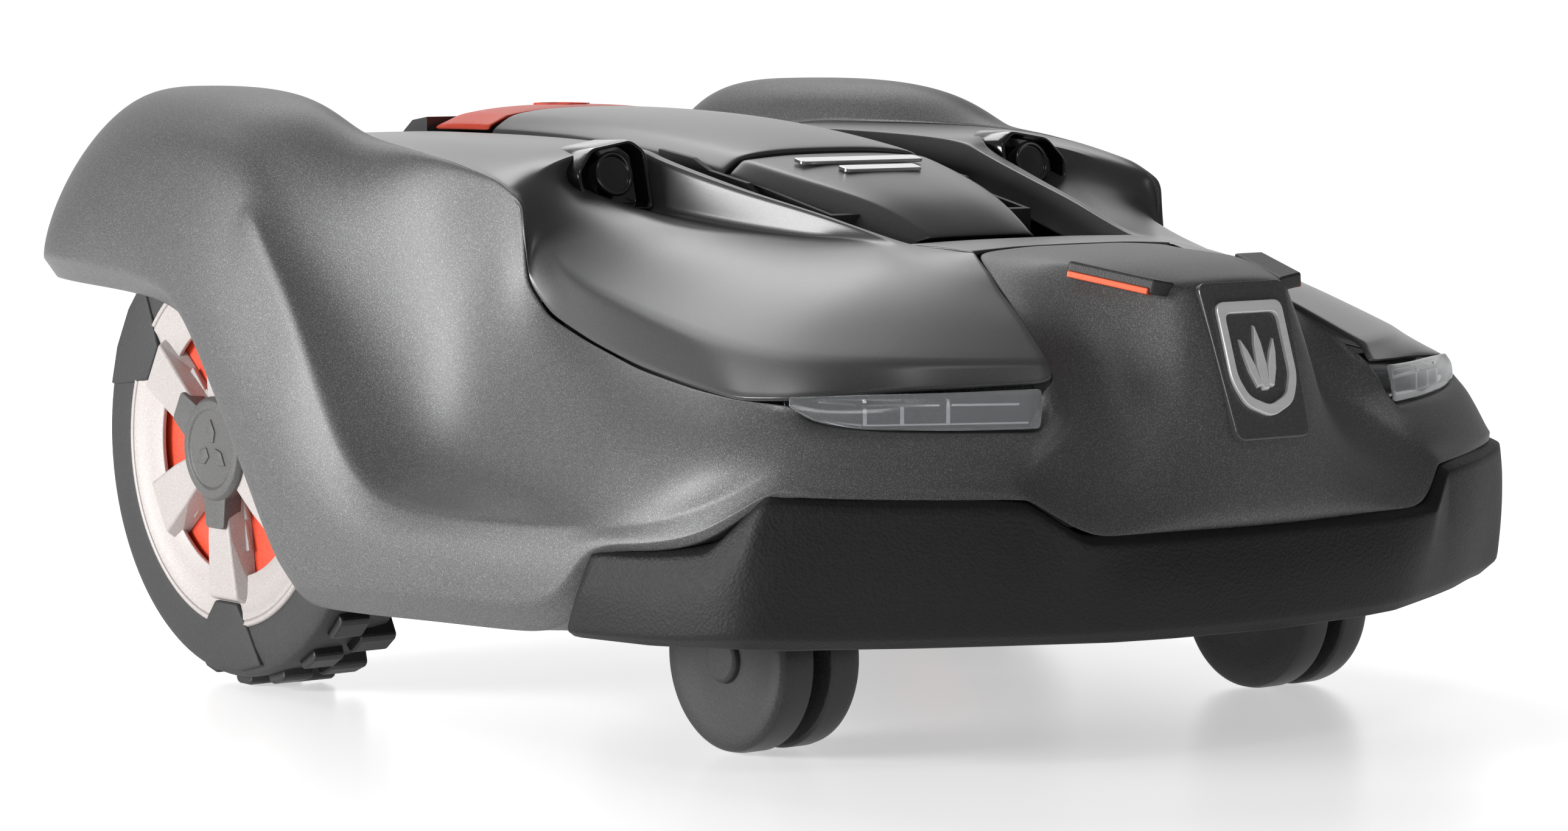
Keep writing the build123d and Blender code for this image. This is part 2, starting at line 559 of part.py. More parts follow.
def wheel_rim():
    """Dished rim with five windows, pressed on the shaft."""
    ring = revolved([(84, -TYRE_IN - 2), (RIM_R, -TYRE_IN - 2), (RIM_R, -258), (86, -257), (84, -250)])
    web = revolved([(SHAFT_R, -236), (86, -240), (86, -246), (SHAFT_R, -244)])
    hub = revolved([(SHAFT_R, -212), (24, -212), (30, -254), (26, -262), (SHAFT_R, -262)])
    rim = ring + web
    for k in range(5):
        window = across(17, -280, -216, 0, 62)
        wide = Pos(-248, 0, 68) * Box(64, 44, 20)
        rim = rim - Pos(0, WHEEL_Y, WHEEL_R) * Rot(k * 72 + 36, 0, 0) * (window + wide)
    return rim + hub


def wheel_disc():
    """Coloured disc behind the rim windows."""
    return revolved([(30, -226), (83.9, -226), (83.9, -222), (30, -222)]) + revolved(
        [(25.6, -226), (31, -226), (31, -219), (25.6, -219)]) - revolved([(0, -100), (28.2, -100), (28.2, -300), (0, -300)])


def hub_cap():
    cap = revolved([(0, -262), (26, -262), (24, -HUB_FACE + 1), (22, -HUB_FACE), (0, -HUB_FACE)])
    legs = [Pos(0, WHEEL_Y, WHEEL_R) * Rot(k * 120, 0, 0) * (Pos(-264, 0, 24) * Box(4, 12, 12)) for k in range(3)]
    return joined([cap] + legs)


def wheel_shaft():
    return across(SHAFT_R, -262, -151, WHEEL_Y, WHEEL_R)


# ---- casters --------------------------------------------------------------------------------
CASTER_WHEEL_Y = CASTER_Y + CASTER_TRAIL


def caster_fork():
    """Stem, crown and a single arm between the two halves of the wheel."""
    stem = upright(CASTER_STEM_R, -CASTER_X, CASTER_Y, 94, CHASSIS_SPLIT - 7)
    crown = upright(17, -CASTER_X, CASTER_Y, 93, CHASSIS_BOTTOM - CLEAR)
    arm = block(-CASTER_X - CASTER_ARM_T / 2, -CASTER_X + CASTER_ARM_T / 2, CASTER_Y - 12, CASTER_WHEEL_Y + 10, 60, 95)
    eye = across(11, -CASTER_X - CASTER_ARM_T / 2, -CASTER_X + CASTER_ARM_T / 2, CASTER_WHEEL_Y, CASTER_R)
    link = block(-CASTER_X - CASTER_ARM_T / 2, -CASTER_X + CASTER_ARM_T / 2, CASTER_WHEEL_Y - 11, CASTER_WHEEL_Y + 10,
                 CASTER_R, 70)
    fork = joined([stem, crown, arm, eye, link])
    return fork - across(CASTER_AXLE_R + FIT, -CASTER_X - 20, -CASTER_X + 20, CASTER_WHEEL_Y, CASTER_R)


def caster_ring(profile, side):
    face = make_face(Polyline(*[(-CASTER_X + side * x, CASTER_WHEEL_Y, CASTER_R + r) for r, x in profile], close=True))
    return revolve(face, axis=Axis((0, CASTER_WHEEL_Y, CASTER_R), (1, 0, 0)))


CASTER_GAP = CASTER_ARM_T / 2 + 0.5


def caster_wheel():
    """Both half wheels."""
    half = [(CASTER_AXLE_R, CASTER_GAP), (34, CASTER_GAP), (34, CASTER_HALF - 6), (31, CASTER_HALF - 2),
            (20, CASTER_HALF), (CASTER_AXLE_R, CASTER_HALF)]
    return Compound(children=[caster_ring(half, -1), caster_ring(half, 1)])


def caster_tyre():
    ring = [(34, CASTER_GAP), (CASTER_R - 2, CASTER_GAP), (CASTER_R, CASTER_GAP + 3), (CASTER_R, CASTER_GAP + 8),
            (CASTER_R - 1, CASTER_HALF - 7), (CASTER_R - 4, CASTER_HALF - 4), (34, CASTER_HALF - 6)]
    return Compound(children=[caster_ring(ring, -1), caster_ring(ring, 1)])


def caster_axle():
    """Axle with a domed cap at each end."""
    axle = across(CASTER_AXLE_R, -CASTER_X - CASTER_HALF, -CASTER_X + CASTER_HALF, CASTER_WHEEL_Y, CASTER_R)
    cap = [(0, CASTER_HALF), (11, CASTER_HALF), (9, CASTER_HALF + 2), (0, CASTER_HALF + 3)]
    return axle + caster_ring(cap, -1) + caster_ring(cap, 1)


# ---- cutting deck ---------------------------------------------------------------------------
def deck_carriage():
    """Cup that carries the cutting motor and climbs the height screw."""
    cup = upright(CARRIAGE_R, 0, DECK_Y, 62, 150) - upright(CARRIAGE_R - 5, 0, DECK_Y, 65, 146)
    nut = upright(16, 0, DECK_Y, 138, 152)
    cup = cup + nut
    cup = cup - upright(SCREW_R + FIT, 0, DECK_Y, 130, 160) - upright(DISC_SHAFT_R + 2, 0, DECK_Y, 60, 66)
    groove = pair(block(-CARRIAGE_R - 2, -CARRIAGE_R + 3.4 + CLEAR, DECK_Y - 4 - CLEAR, DECK_Y + 4 + CLEAR, 60, 160))
    return cup - groove


def height_screw():
    """Fixed screw the carriage nut runs on."""
    return upright(SCREW_R, 0, DECK_Y, 116, SLEEVE_TOP - WALL)


def cutting_motor():
    can = upright(40, 0, DECK_Y, 65, 90)
    return can - upright(DISC_SHAFT_R + FIT, 0, DECK_Y, 60, 84)


def blade_disc():
    disc = upright(DISC_R, 0, DECK_Y, DISC_Z, DISC_Z + DISC_T)
    hub = upright(18, 0, DECK_Y, DISC_Z + DISC_T, 60)
    disc = disc + hub - upright(DISC_SHAFT_R, 0, DECK_Y, DISC_Z - 1, 61)
    for k in range(6):
        a = math.radians(60 * k + 30)
        disc = disc - upright(11, 60 * math.cos(a), DECK_Y + 60 * math.sin(a), DISC_Z - 1, DISC_Z + DISC_T + 1)
    for x, y, _ in blade_pivots():
        disc = disc - upright(BLADE_PIN_R, x, y, DISC_Z - 1, DISC_Z + DISC_T + 1)
    return disc


def disc_shaft():
    return upright(DISC_SHAFT_R, 0, DECK_Y, 30, 82) + upright(8, 0, DECK_Y, 30, 34.6)


def blade_pivots():
    places = []
    for k in range(3):
        a = math.radians(90 + 120 * k)
        places.append((BLADE_PIVOT_R * math.cos(a), DECK_Y + BLADE_PIVOT_R * math.sin(a), 90 + 120 * k))
    return places


BLADE_TOP = DISC_Z - 1.0


def blade(k):
    """Pivoting razor blade with a hole for its screw."""
    x, y, turn = blade_pivots()[k]
    flat = block(-7, BLADE_REACH, -BLADE_WIDTH / 2, BLADE_WIDTH / 2, BLADE_TOP - BLADE_T, BLADE_TOP)
    flat = chamfer(flat.edges().filter_by(Axis.Z), 3)
    flat = flat - upright(BLADE_PIN_R + FIT, 0, 0, 0, 100)
    return Pos(x, y, 0) * Rot(0, 0, turn) * flat


def blade_screws():
    screws = [upright(BLADE_PIN_R, x, y, 38.6, DISC_Z + DISC_T) + upright(5.5, x, y, 37, 39.4) +
              upright(5, x, y, BLADE_TOP + CLEAR, DISC_Z)
              for x, y, _ in blade_pivots()]
    return Compound(children=screws)


def skid_plate():
    """Free-turning plate under the disc that keeps the grass off the screw heads."""
    plate = upright(72, 0, DECK_Y, 35, 37)
    hub = upright(14, 0, DECK_Y, 36, 40)
    return plate + hub - upright(DISC_SHAFT_R + FIT, 0, DECK_Y, 30, 50)


# ---- write every part -----------------------------------------------------------------------
def write(name, shape):
    solids = shape.solids()
    body = solids[0] if len(solids) == 1 else Compound(children=list(solids))
    export_step(body, f"parts/{name}.step")
    print(name, len(solids), round(sum(s.volume for s in solids)))


def left_and_right(name, shape):
    write(f"{name}_left", shape)
    write(f"{name}_right", mirror_x(shape))



write("body_shell", body_shell())
write("top_cover", top_cover())
write("front_bumper", front_bumper())
write("headlight_lens", headlight_lens())
write("sensor_pod", sensor_pod())
write("nose_badge", nose_badge())
write("charge_contacts", charge_contacts())
write("chassis_lower", chassis_lower())
write("chassis_upper", chassis_upper())
write("chassis_seal", chassis_seal())
write("battery_packs", battery_packs())
write("battery_cover", battery_cover())
write("cover_screws", cover_screw_set())
left_and_right("wheel_motor", wheel_motor())
write("circuit_board", circuit_board())
write("control_panel", control_panel())
write("display_window", display_window())
for name, x, y, a, b in key_layout():
    write(name, key(x, y, a, b))
write("console_front", console_front())
write("console_rear", console_rear())
write("hatch", hatch())
write("stop_button", stop_button())
write("stop_frame", stop_frame())
write("float_posts", float_posts())
left_and_right("tyre", tyre())
left_and_right("wheel_rim", wheel_rim())
left_and_right("wheel_disc", wheel_disc())
left_and_right("hub_cap", hub_cap())
left_and_right("wheel_shaft", wheel_shaft())
left_and_right("caster_fork", caster_fork())
left_and_right("caster_wheel", caster_wheel())
left_and_right("caster_tyre", caster_tyre())
left_and_right("caster_axle", caster_axle())
write("deck_carriage", deck_carriage())
write("height_screw", height_screw())
write("cutting_motor", cutting_motor())
write("blade_disc", blade_disc())
write("disc_shaft", disc_shaft())
for k in range(3):
    write(f"blade_{k + 1}", blade(k))
write("blade_screws", blade_screws())
write("skid_plate", skid_plate())
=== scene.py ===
import math

import bmesh
import bpy
from mathutils import Matrix, Vector


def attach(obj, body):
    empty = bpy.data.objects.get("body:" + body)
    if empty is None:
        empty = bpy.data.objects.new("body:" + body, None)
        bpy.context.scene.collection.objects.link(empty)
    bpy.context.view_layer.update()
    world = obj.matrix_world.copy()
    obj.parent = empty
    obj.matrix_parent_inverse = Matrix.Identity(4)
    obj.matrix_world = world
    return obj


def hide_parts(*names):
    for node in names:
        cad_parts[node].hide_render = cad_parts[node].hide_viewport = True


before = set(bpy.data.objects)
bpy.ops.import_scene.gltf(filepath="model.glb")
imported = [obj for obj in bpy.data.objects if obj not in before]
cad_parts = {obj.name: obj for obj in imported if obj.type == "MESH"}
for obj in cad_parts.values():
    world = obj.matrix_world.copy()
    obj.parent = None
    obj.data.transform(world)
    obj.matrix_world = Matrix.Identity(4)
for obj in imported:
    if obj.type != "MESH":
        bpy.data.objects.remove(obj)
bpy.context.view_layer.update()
print("frame loaded:", len(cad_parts), "nodes")

mm = 0.001
sides = {"left": -1, "right": 1}

# ---------- finishes


def plainNodes(name):
    finish = bpy.data.materials.new(name)
    finish.use_nodes = True
    nodes = finish.node_tree.nodes
    return finish, nodes, finish.node_tree.links, nodes["Principled BSDF"]


def addNode(nodes, kind, settings):
    node = nodes.new("ShaderNode" + kind)
    for socket, value in settings.items():
        node.inputs[socket].default_value = value
    return node


def wornRoughness(nodes, links, source, shader, low, high):
    rough = addNode(nodes, "MapRange", {"To Min": low, "To Max": high})
    links.new(source.outputs["Fac"], rough.inputs["Value"])
    links.new(rough.outputs["Result"], shader.inputs["Roughness"])


def raisedGrain(nodes, links, height, shader, strength, depth):
    bump = addNode(nodes, "Bump", {"Strength": strength, "Distance": depth})
    links.new(height, bump.inputs["Height"])
    links.new(bump.outputs["Normal"], shader.inputs["Normal"])


def grainedFinish(name, look):
    # one recipe for moulded, painted and rubber surfaces: a speckle of two tones, worn roughness and a grain
    finish, nodes, links, shader = plainNodes(name)
    place = nodes.new("ShaderNodeTexCoord").outputs["Object"]
    speck = addNode(nodes, "TexNoise", {"Scale": look["speckScale"], "Detail": 2.0})
    cloud = addNode(nodes, "TexNoise", {"Scale": 9.0})  # slow drift of the tone over a hand's width
    grain = addNode(nodes, "TexVoronoi" if look.get("leather") else "TexNoise",
                    {"Scale": look.get("grainScale", 1400.0)})
    for texture in (speck, cloud, grain):
        links.new(place, texture.inputs["Vector"])
    tones = nodes.new("ShaderNodeValToRGB")
    tones.color_ramp.elements[0].position = look.get("speckFrom", 0.42)
    tones.color_ramp.elements[1].position = look.get("speckTo", 0.68)
    tones.color_ramp.elements[0].color = (*look["tone"], 1)
    tones.color_ramp.elements[1].color = (*look["speck"], 1)
    links.new(speck.outputs["Fac"], tones.inputs["Fac"])
    drift = nodes.new("ShaderNodeMix")
    drift.data_type = "RGBA"
    drift.blend_type = "MULTIPLY"
    drift.inputs["Factor"].default_value = 0.12
    links.new(tones.outputs["Color"], drift.inputs["A"])
    links.new(cloud.outputs["Fac"], drift.inputs["B"])
    links.new(drift.outputs["Result"], shader.inputs["Base Color"])
    wornRoughness(nodes, links, speck, shader, look["roughness"] - 0.05, look["roughness"] + 0.05)
    raisedGrain(nodes, links, grain.outputs[0], shader, look.get("grain", 0.12), 0.0004)
    shader.inputs["Metallic"].default_value = look.get("metal", 0.0)
    shader.inputs["Coat Weight"].default_value = look.get("coat", 0.0)
    shader.inputs["Coat Roughness"].default_value = look.get("coatRoughness", 0.2)
    shader.inputs["Specular IOR Level"].default_value = look.get("specular", 0.5)
    return finish


def brushedMetal(name, tone, roughness, along, metallic):
    # fine scratches drawn out along one axis
    finish, nodes, links, shader = plainNodes(name)
    place = nodes.new("ShaderNodeTexCoord")
    stretch = addNode(nodes, "Mapping", {"Scale": along})
    scratch = addNode(nodes, "TexNoise", {"Scale": 40.0, "Detail": 6.0})
    links.new(place.outputs["Object"], stretch.inputs["Vector"])
    links.new(stretch.outputs["Vector"], scratch.inputs["Vector"])
    tones = nodes.new("ShaderNodeValToRGB")
    tones.color_ramp.elements[0].color = (*[c * 0.82 for c in tone], 1)
    tones.color_ramp.elements[1].color = (*tone, 1)
    links.new(scratch.outputs["Fac"], tones.inputs["Fac"])
    links.new(tones.outputs["Color"], shader.inputs["Base Color"])
    wornRoughness(nodes, links, scratch, shader, roughness - 0.08, roughness + 0.08)
    raisedGrain(nodes, links, scratch.outputs["Fac"], shader, 0.08, 0.0002)
    shader.inputs["Metallic"].default_value = metallic
    return finish


def clearLens(name):
    finish, nodes, links, shader = plainNodes(name)
    place = nodes.new("ShaderNodeTexCoord")
    haze = addNode(nodes, "TexNoise", {"Scale": 60.0})
    links.new(place.outputs["Object"], haze.inputs["Vector"])
    wornRoughness(nodes, links, haze, shader, 0.02, 0.10)
    shader.inputs["Base Color"].default_value = (0.86, 0.88, 0.90, 1)
    shader.inputs["Transmission Weight"].default_value = 0.85
    shader.inputs["IOR"].default_value = 1.45
    return finish


looks = {
    "bodyPlastic": {
        "tone": (0.088, 0.088, 0.089), "speck": (0.24, 0.24, 0.24), "speckScale": 1700.0, "speckFrom": 0.47,
        "speckTo": 0.78, "roughness": 0.46, "grain": 0.22, "grainScale": 1900.0, "metal": 0.3},
    "coverPlastic": {
        "tone": (0.060, 0.060, 0.061), "speck": (0.078, 0.078, 0.078), "speckScale": 1700.0,
        "roughness": 0.34, "grain": 0.10, "grainScale": 2400.0, "coat": 0.25, "coatRoughness": 0.25},
    "bumperFoam": {
        "tone": (0.005, 0.005, 0.005), "speck": (0.008, 0.008, 0.008), "speckScale": 260.0, "roughness": 0.6,
        "specular": 0.35, "leather": True, "grain": 0.5, "grainScale": 620.0},
    "chassisPlastic": {
        "tone": (0.018, 0.018, 0.019), "speck": (0.027, 0.027, 0.028), "speckScale": 900.0, "roughness": 0.5,
        "grain": 0.3, "grainScale": 1200.0},
    "glossBlack": {
        "tone": (0.008, 0.008, 0.009), "speck": (0.011, 0.011, 0.012), "speckScale": 500.0, "roughness": 0.18,
        "grain": 0.03, "coat": 0.6, "coatRoughness": 0.08},
    "signalRed": {
        "tone": (0.74, 0.062, 0.024), "speck": (0.82, 0.09, 0.04), "speckScale": 900.0, "roughness": 0.45,
        "grain": 0.2, "grainScale": 1300.0},
    "rimSilver": {
        "tone": (0.42, 0.385, 0.372), "speck": (0.54, 0.50, 0.485), "speckScale": 1600.0, "roughness": 0.5,
        "grain": 0.10, "grainScale": 2000.0, "metal": 0.2},
    "tyreRubber": {
        "tone": (0.026, 0.026, 0.027), "speck": (0.038, 0.038, 0.038), "speckScale": 700.0, "roughness": 0.66,
        "grain": 0.35, "grainScale": 900.0},
    "treadRubber": {
        "tone": (0.010, 0.010, 0.010), "speck": (0.016, 0.016, 0.016), "speckScale": 500.0, "roughness": 0.5,
        "grain": 0.3, "grainScale": 700.0},
    "capPlastic": {
        "tone": (0.080, 0.079, 0.078), "speck": (0.125, 0.123, 0.12), "speckScale": 1500.0, "roughness": 0.5,
        "grain": 0.25, "grainScale": 1700.0},
    "casterPlastic": {
        "tone": (0.020, 0.020, 0.021), "speck": (0.036, 0.036, 0.036), "speckScale": 1100.0, "roughness": 0.6,
        "grain": 0.5, "grainScale": 1100.0},
    "keyPlastic": {
        "tone": (0.22, 0.225, 0.23), "speck": (0.27, 0.275, 0.28), "speckScale": 900.0, "roughness": 0.55},
    "batteryWrap": {
        "tone": (0.012, 0.05, 0.16), "speck": (0.02, 0.065, 0.19), "speckScale": 300.0, "roughness": 0.35},
    "boardGreen": {
        "tone": (0.008, 0.09, 0.03), "speck": (0.02, 0.15, 0.05), "speckScale": 320.0, "roughness": 0.3},
    "lampTray": {
        "tone": (0.035, 0.035, 0.036), "speck": (0.06, 0.06, 0.062), "speckScale": 600.0, "roughness": 0.25,
        "grain": 0.05},
    "noseGloss": {
        "tone": (0.060, 0.060, 0.061), "speck": (0.080, 0.080, 0.081), "speckScale": 900.0, "roughness": 0.26,
        "grain": 0.05, "coat": 0.35, "coatRoughness": 0.15},
    "casterTread": {
        "tone": (0.012, 0.012, 0.012), "speck": (0.018, 0.018, 0.018), "speckScale": 500.0, "roughness": 0.4,
        "grain": 0.12, "grainScale": 700.0},
}
finishes = {name: grainedFinish(name, look) for name, look in looks.items()}
finishes["lampClear"] = clearLens("lampClear")
metals = [
    ("badgeMetal", (0.93, 0.93, 0.94), 0.36, (1.0, 30.0, 1.0), 0.3),
    ("groundSteel", (0.62, 0.62, 0.64), 0.32, (40.0, 1.0, 1.0), 1.0),
    ("copperStrip", (0.52, 0.085, 0.035), 0.42, (1.0, 20.0, 20.0), 0.55),
    ("brightTrim", (0.80, 0.80, 0.80), 0.18, (1.0, 20.0, 1.0), 1.0),
]
for metal in metals:
    finishes[metal[0]] = brushedMetal(*metal)
print("finishes made:", len(finishes))

# finish of each CAD node that stays in view
nodeFinish = {
    "chassisPlastic": ["chassis_lower", "chassis_upper", "battery_cover", "control_panel", "stop_frame",
                       "caster_fork_left", "caster_fork_right", "deck_carriage", "float_posts", "blade_disc",
                       "skid_plate"],
    "treadRubber": ["chassis_seal"],
    "coverPlastic": ["console_rear"],
    "signalRed": ["wheel_disc_left", "wheel_disc_right"],
    "batteryWrap": ["battery_packs"],
    "groundSteel": ["cover_screws", "blade_screws", "wheel_motor_left", "wheel_motor_right", "cutting_motor",
                    "caster_axle_left", "caster_axle_right", "wheel_shaft_left", "wheel_shaft_right",
                    "height_screw", "disc_shaft", "blade_1", "blade_2", "blade_3"],
    "boardGreen": ["circuit_board"],
    "glossBlack": ["display_window"],
    "keyPlastic": ["key_power", "key_start", "key_home", "key_back", "key_up", "key_down", "key_accept"],
}
for finishName, nodeNames in nodeFinish.items():
    for nodeName in nodeNames:
        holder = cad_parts[nodeName]
        holder.data.materials.clear()
        holder.data.materials.append(finishes[finishName])

# ---------- modelling helpers


def faceOutwards(bm, inside):
    # turns every face away from a point inside the piece
    bmesh.ops.recalc_face_normals(bm, faces=bm.faces)
    lean = sum(f.normal.dot(f.calc_center_median() - inside) * f.calc_area() for f in bm.faces)
    if lean < 0:
        bmesh.ops.reverse_faces(bm, faces=bm.faces)


def softEdges(piece, width, segments=3, angle=35.0):
    # width in millimetres; only edges that turn by more than the angle are rounded
    edges = piece.modifiers.new("softEdges", "BEVEL")
    edges.width = width * mm
    edges.segments = segments
    edges.limit_method = "ANGLE"
    edges.angle_limit = math.radians(angle)
    edges.harden_normals = False


def finishPiece(name, bm, finishName, body, replaced, smooth=True, soft=None, twoSided=False):
    # mesh, finishes and body of one piece, with the CAD parts it replaces hidden; twoSided adds its mirror
    # image, soft rounds its edges
    mesh = bpy.data.meshes.new(name)
    bm.to_mesh(mesh)
    bm.free()
    piece = bpy.data.objects.new(name, mesh)
    bpy.context.scene.collection.objects.link(piece)
    for one in [finishName] if isinstance(finishName, str) else finishName:
        mesh.materials.append(finishes[one])
    for polygon in mesh.polygons:
        polygon.use_smooth = smooth
    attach(piece, body)
    if replaced:
        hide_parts(*replaced)
    if twoSided:
        half = piece.modifiers.new("otherHalf", "MIRROR")
        half.use_axis = (True, False, False)
        half.use_mirror_merge = False
    if soft:
        softEdges(piece, *soft)
    return piece


def controlCage(columns):
    # a grid of control points: columns run along the panel, rows across it
    rows = len(columns[0])
    bm = bmesh.new()
    bmesh.ops.create_grid(bm, x_segments=len(columns) - 1, y_segments=rows - 1, size=1.0)
    ordered = sorted(bm.verts, key=lambda v: (round(v.co.x, 4), round(v.co.y, 4)))
    lattice = [ordered[k * rows:(k + 1) * rows] for k in range(len(columns))]
    for column, points in zip(lattice, columns):
        for vert, point in zip(column, points):
            vert.co = Vector(point) * mm
    return bm, lattice


def creaseCage(bm, lattice, rows, crossings):
    # rows: (row, first column, last column, amount); crossings: (column, first row, last row, amount)
    sharp = bm.edges.layers.float.new("crease_edge")
    for row, first, last, amount in rows:
        for k in range(first, len(lattice) - 1 if last is None else last):
            bm.edges.get((lattice[k][row], lattice[k + 1][row]))[sharp] = amount
    for column, first, last, amount in crossings:
        for k in range(first, last):
            bm.edges.get((lattice[column][k], lattice[column][k + 1]))[sharp] = amount


def thickPanel(piece, thickness, levels, rimCrease, mergeHalves):
    # the other half, the wall, then the smooth surface
    half = piece.modifiers.new("otherHalf", "MIRROR")
    half.use_axis = (True, False, False)
    half.merge_threshold = 0.0002
    half.use_mirror_merge = mergeHalves
    wall = piece.modifiers.new("wall", "SOLIDIFY")
    wall.thickness = thickness
    wall.offset = -1.0
    wall.use_even_offset = False
    wall.edge_crease_rim = rimCrease
    wall.edge_crease_inner = 0.0
    wall.edge_crease_outer = rimCrease
    rounding = piece.modifiers.new("rounding", "SUBSURF")
    rounding.levels = levels
    rounding.render_levels = levels


def cagePiece(name, columns, inside, finishName, body, replaced, wall, rows=(), crossings=(),
              levels=3, rimCrease=0.35, mergeHalves=True):
    # a mirrored, walled and smoothed panel; inside is a point behind it, in metres
    bm, lattice = controlCage(columns)
    creaseCage(bm, lattice, rows, crossings)
    faceOutwards(bm, Vector(inside))
    piece = finishPiece(name, bm, finishName, body, replaced)
    thickPanel(piece, wall * mm, levels, rimCrease, mergeHalves)
    print(name + ":", len(columns), "columns")
    return piece


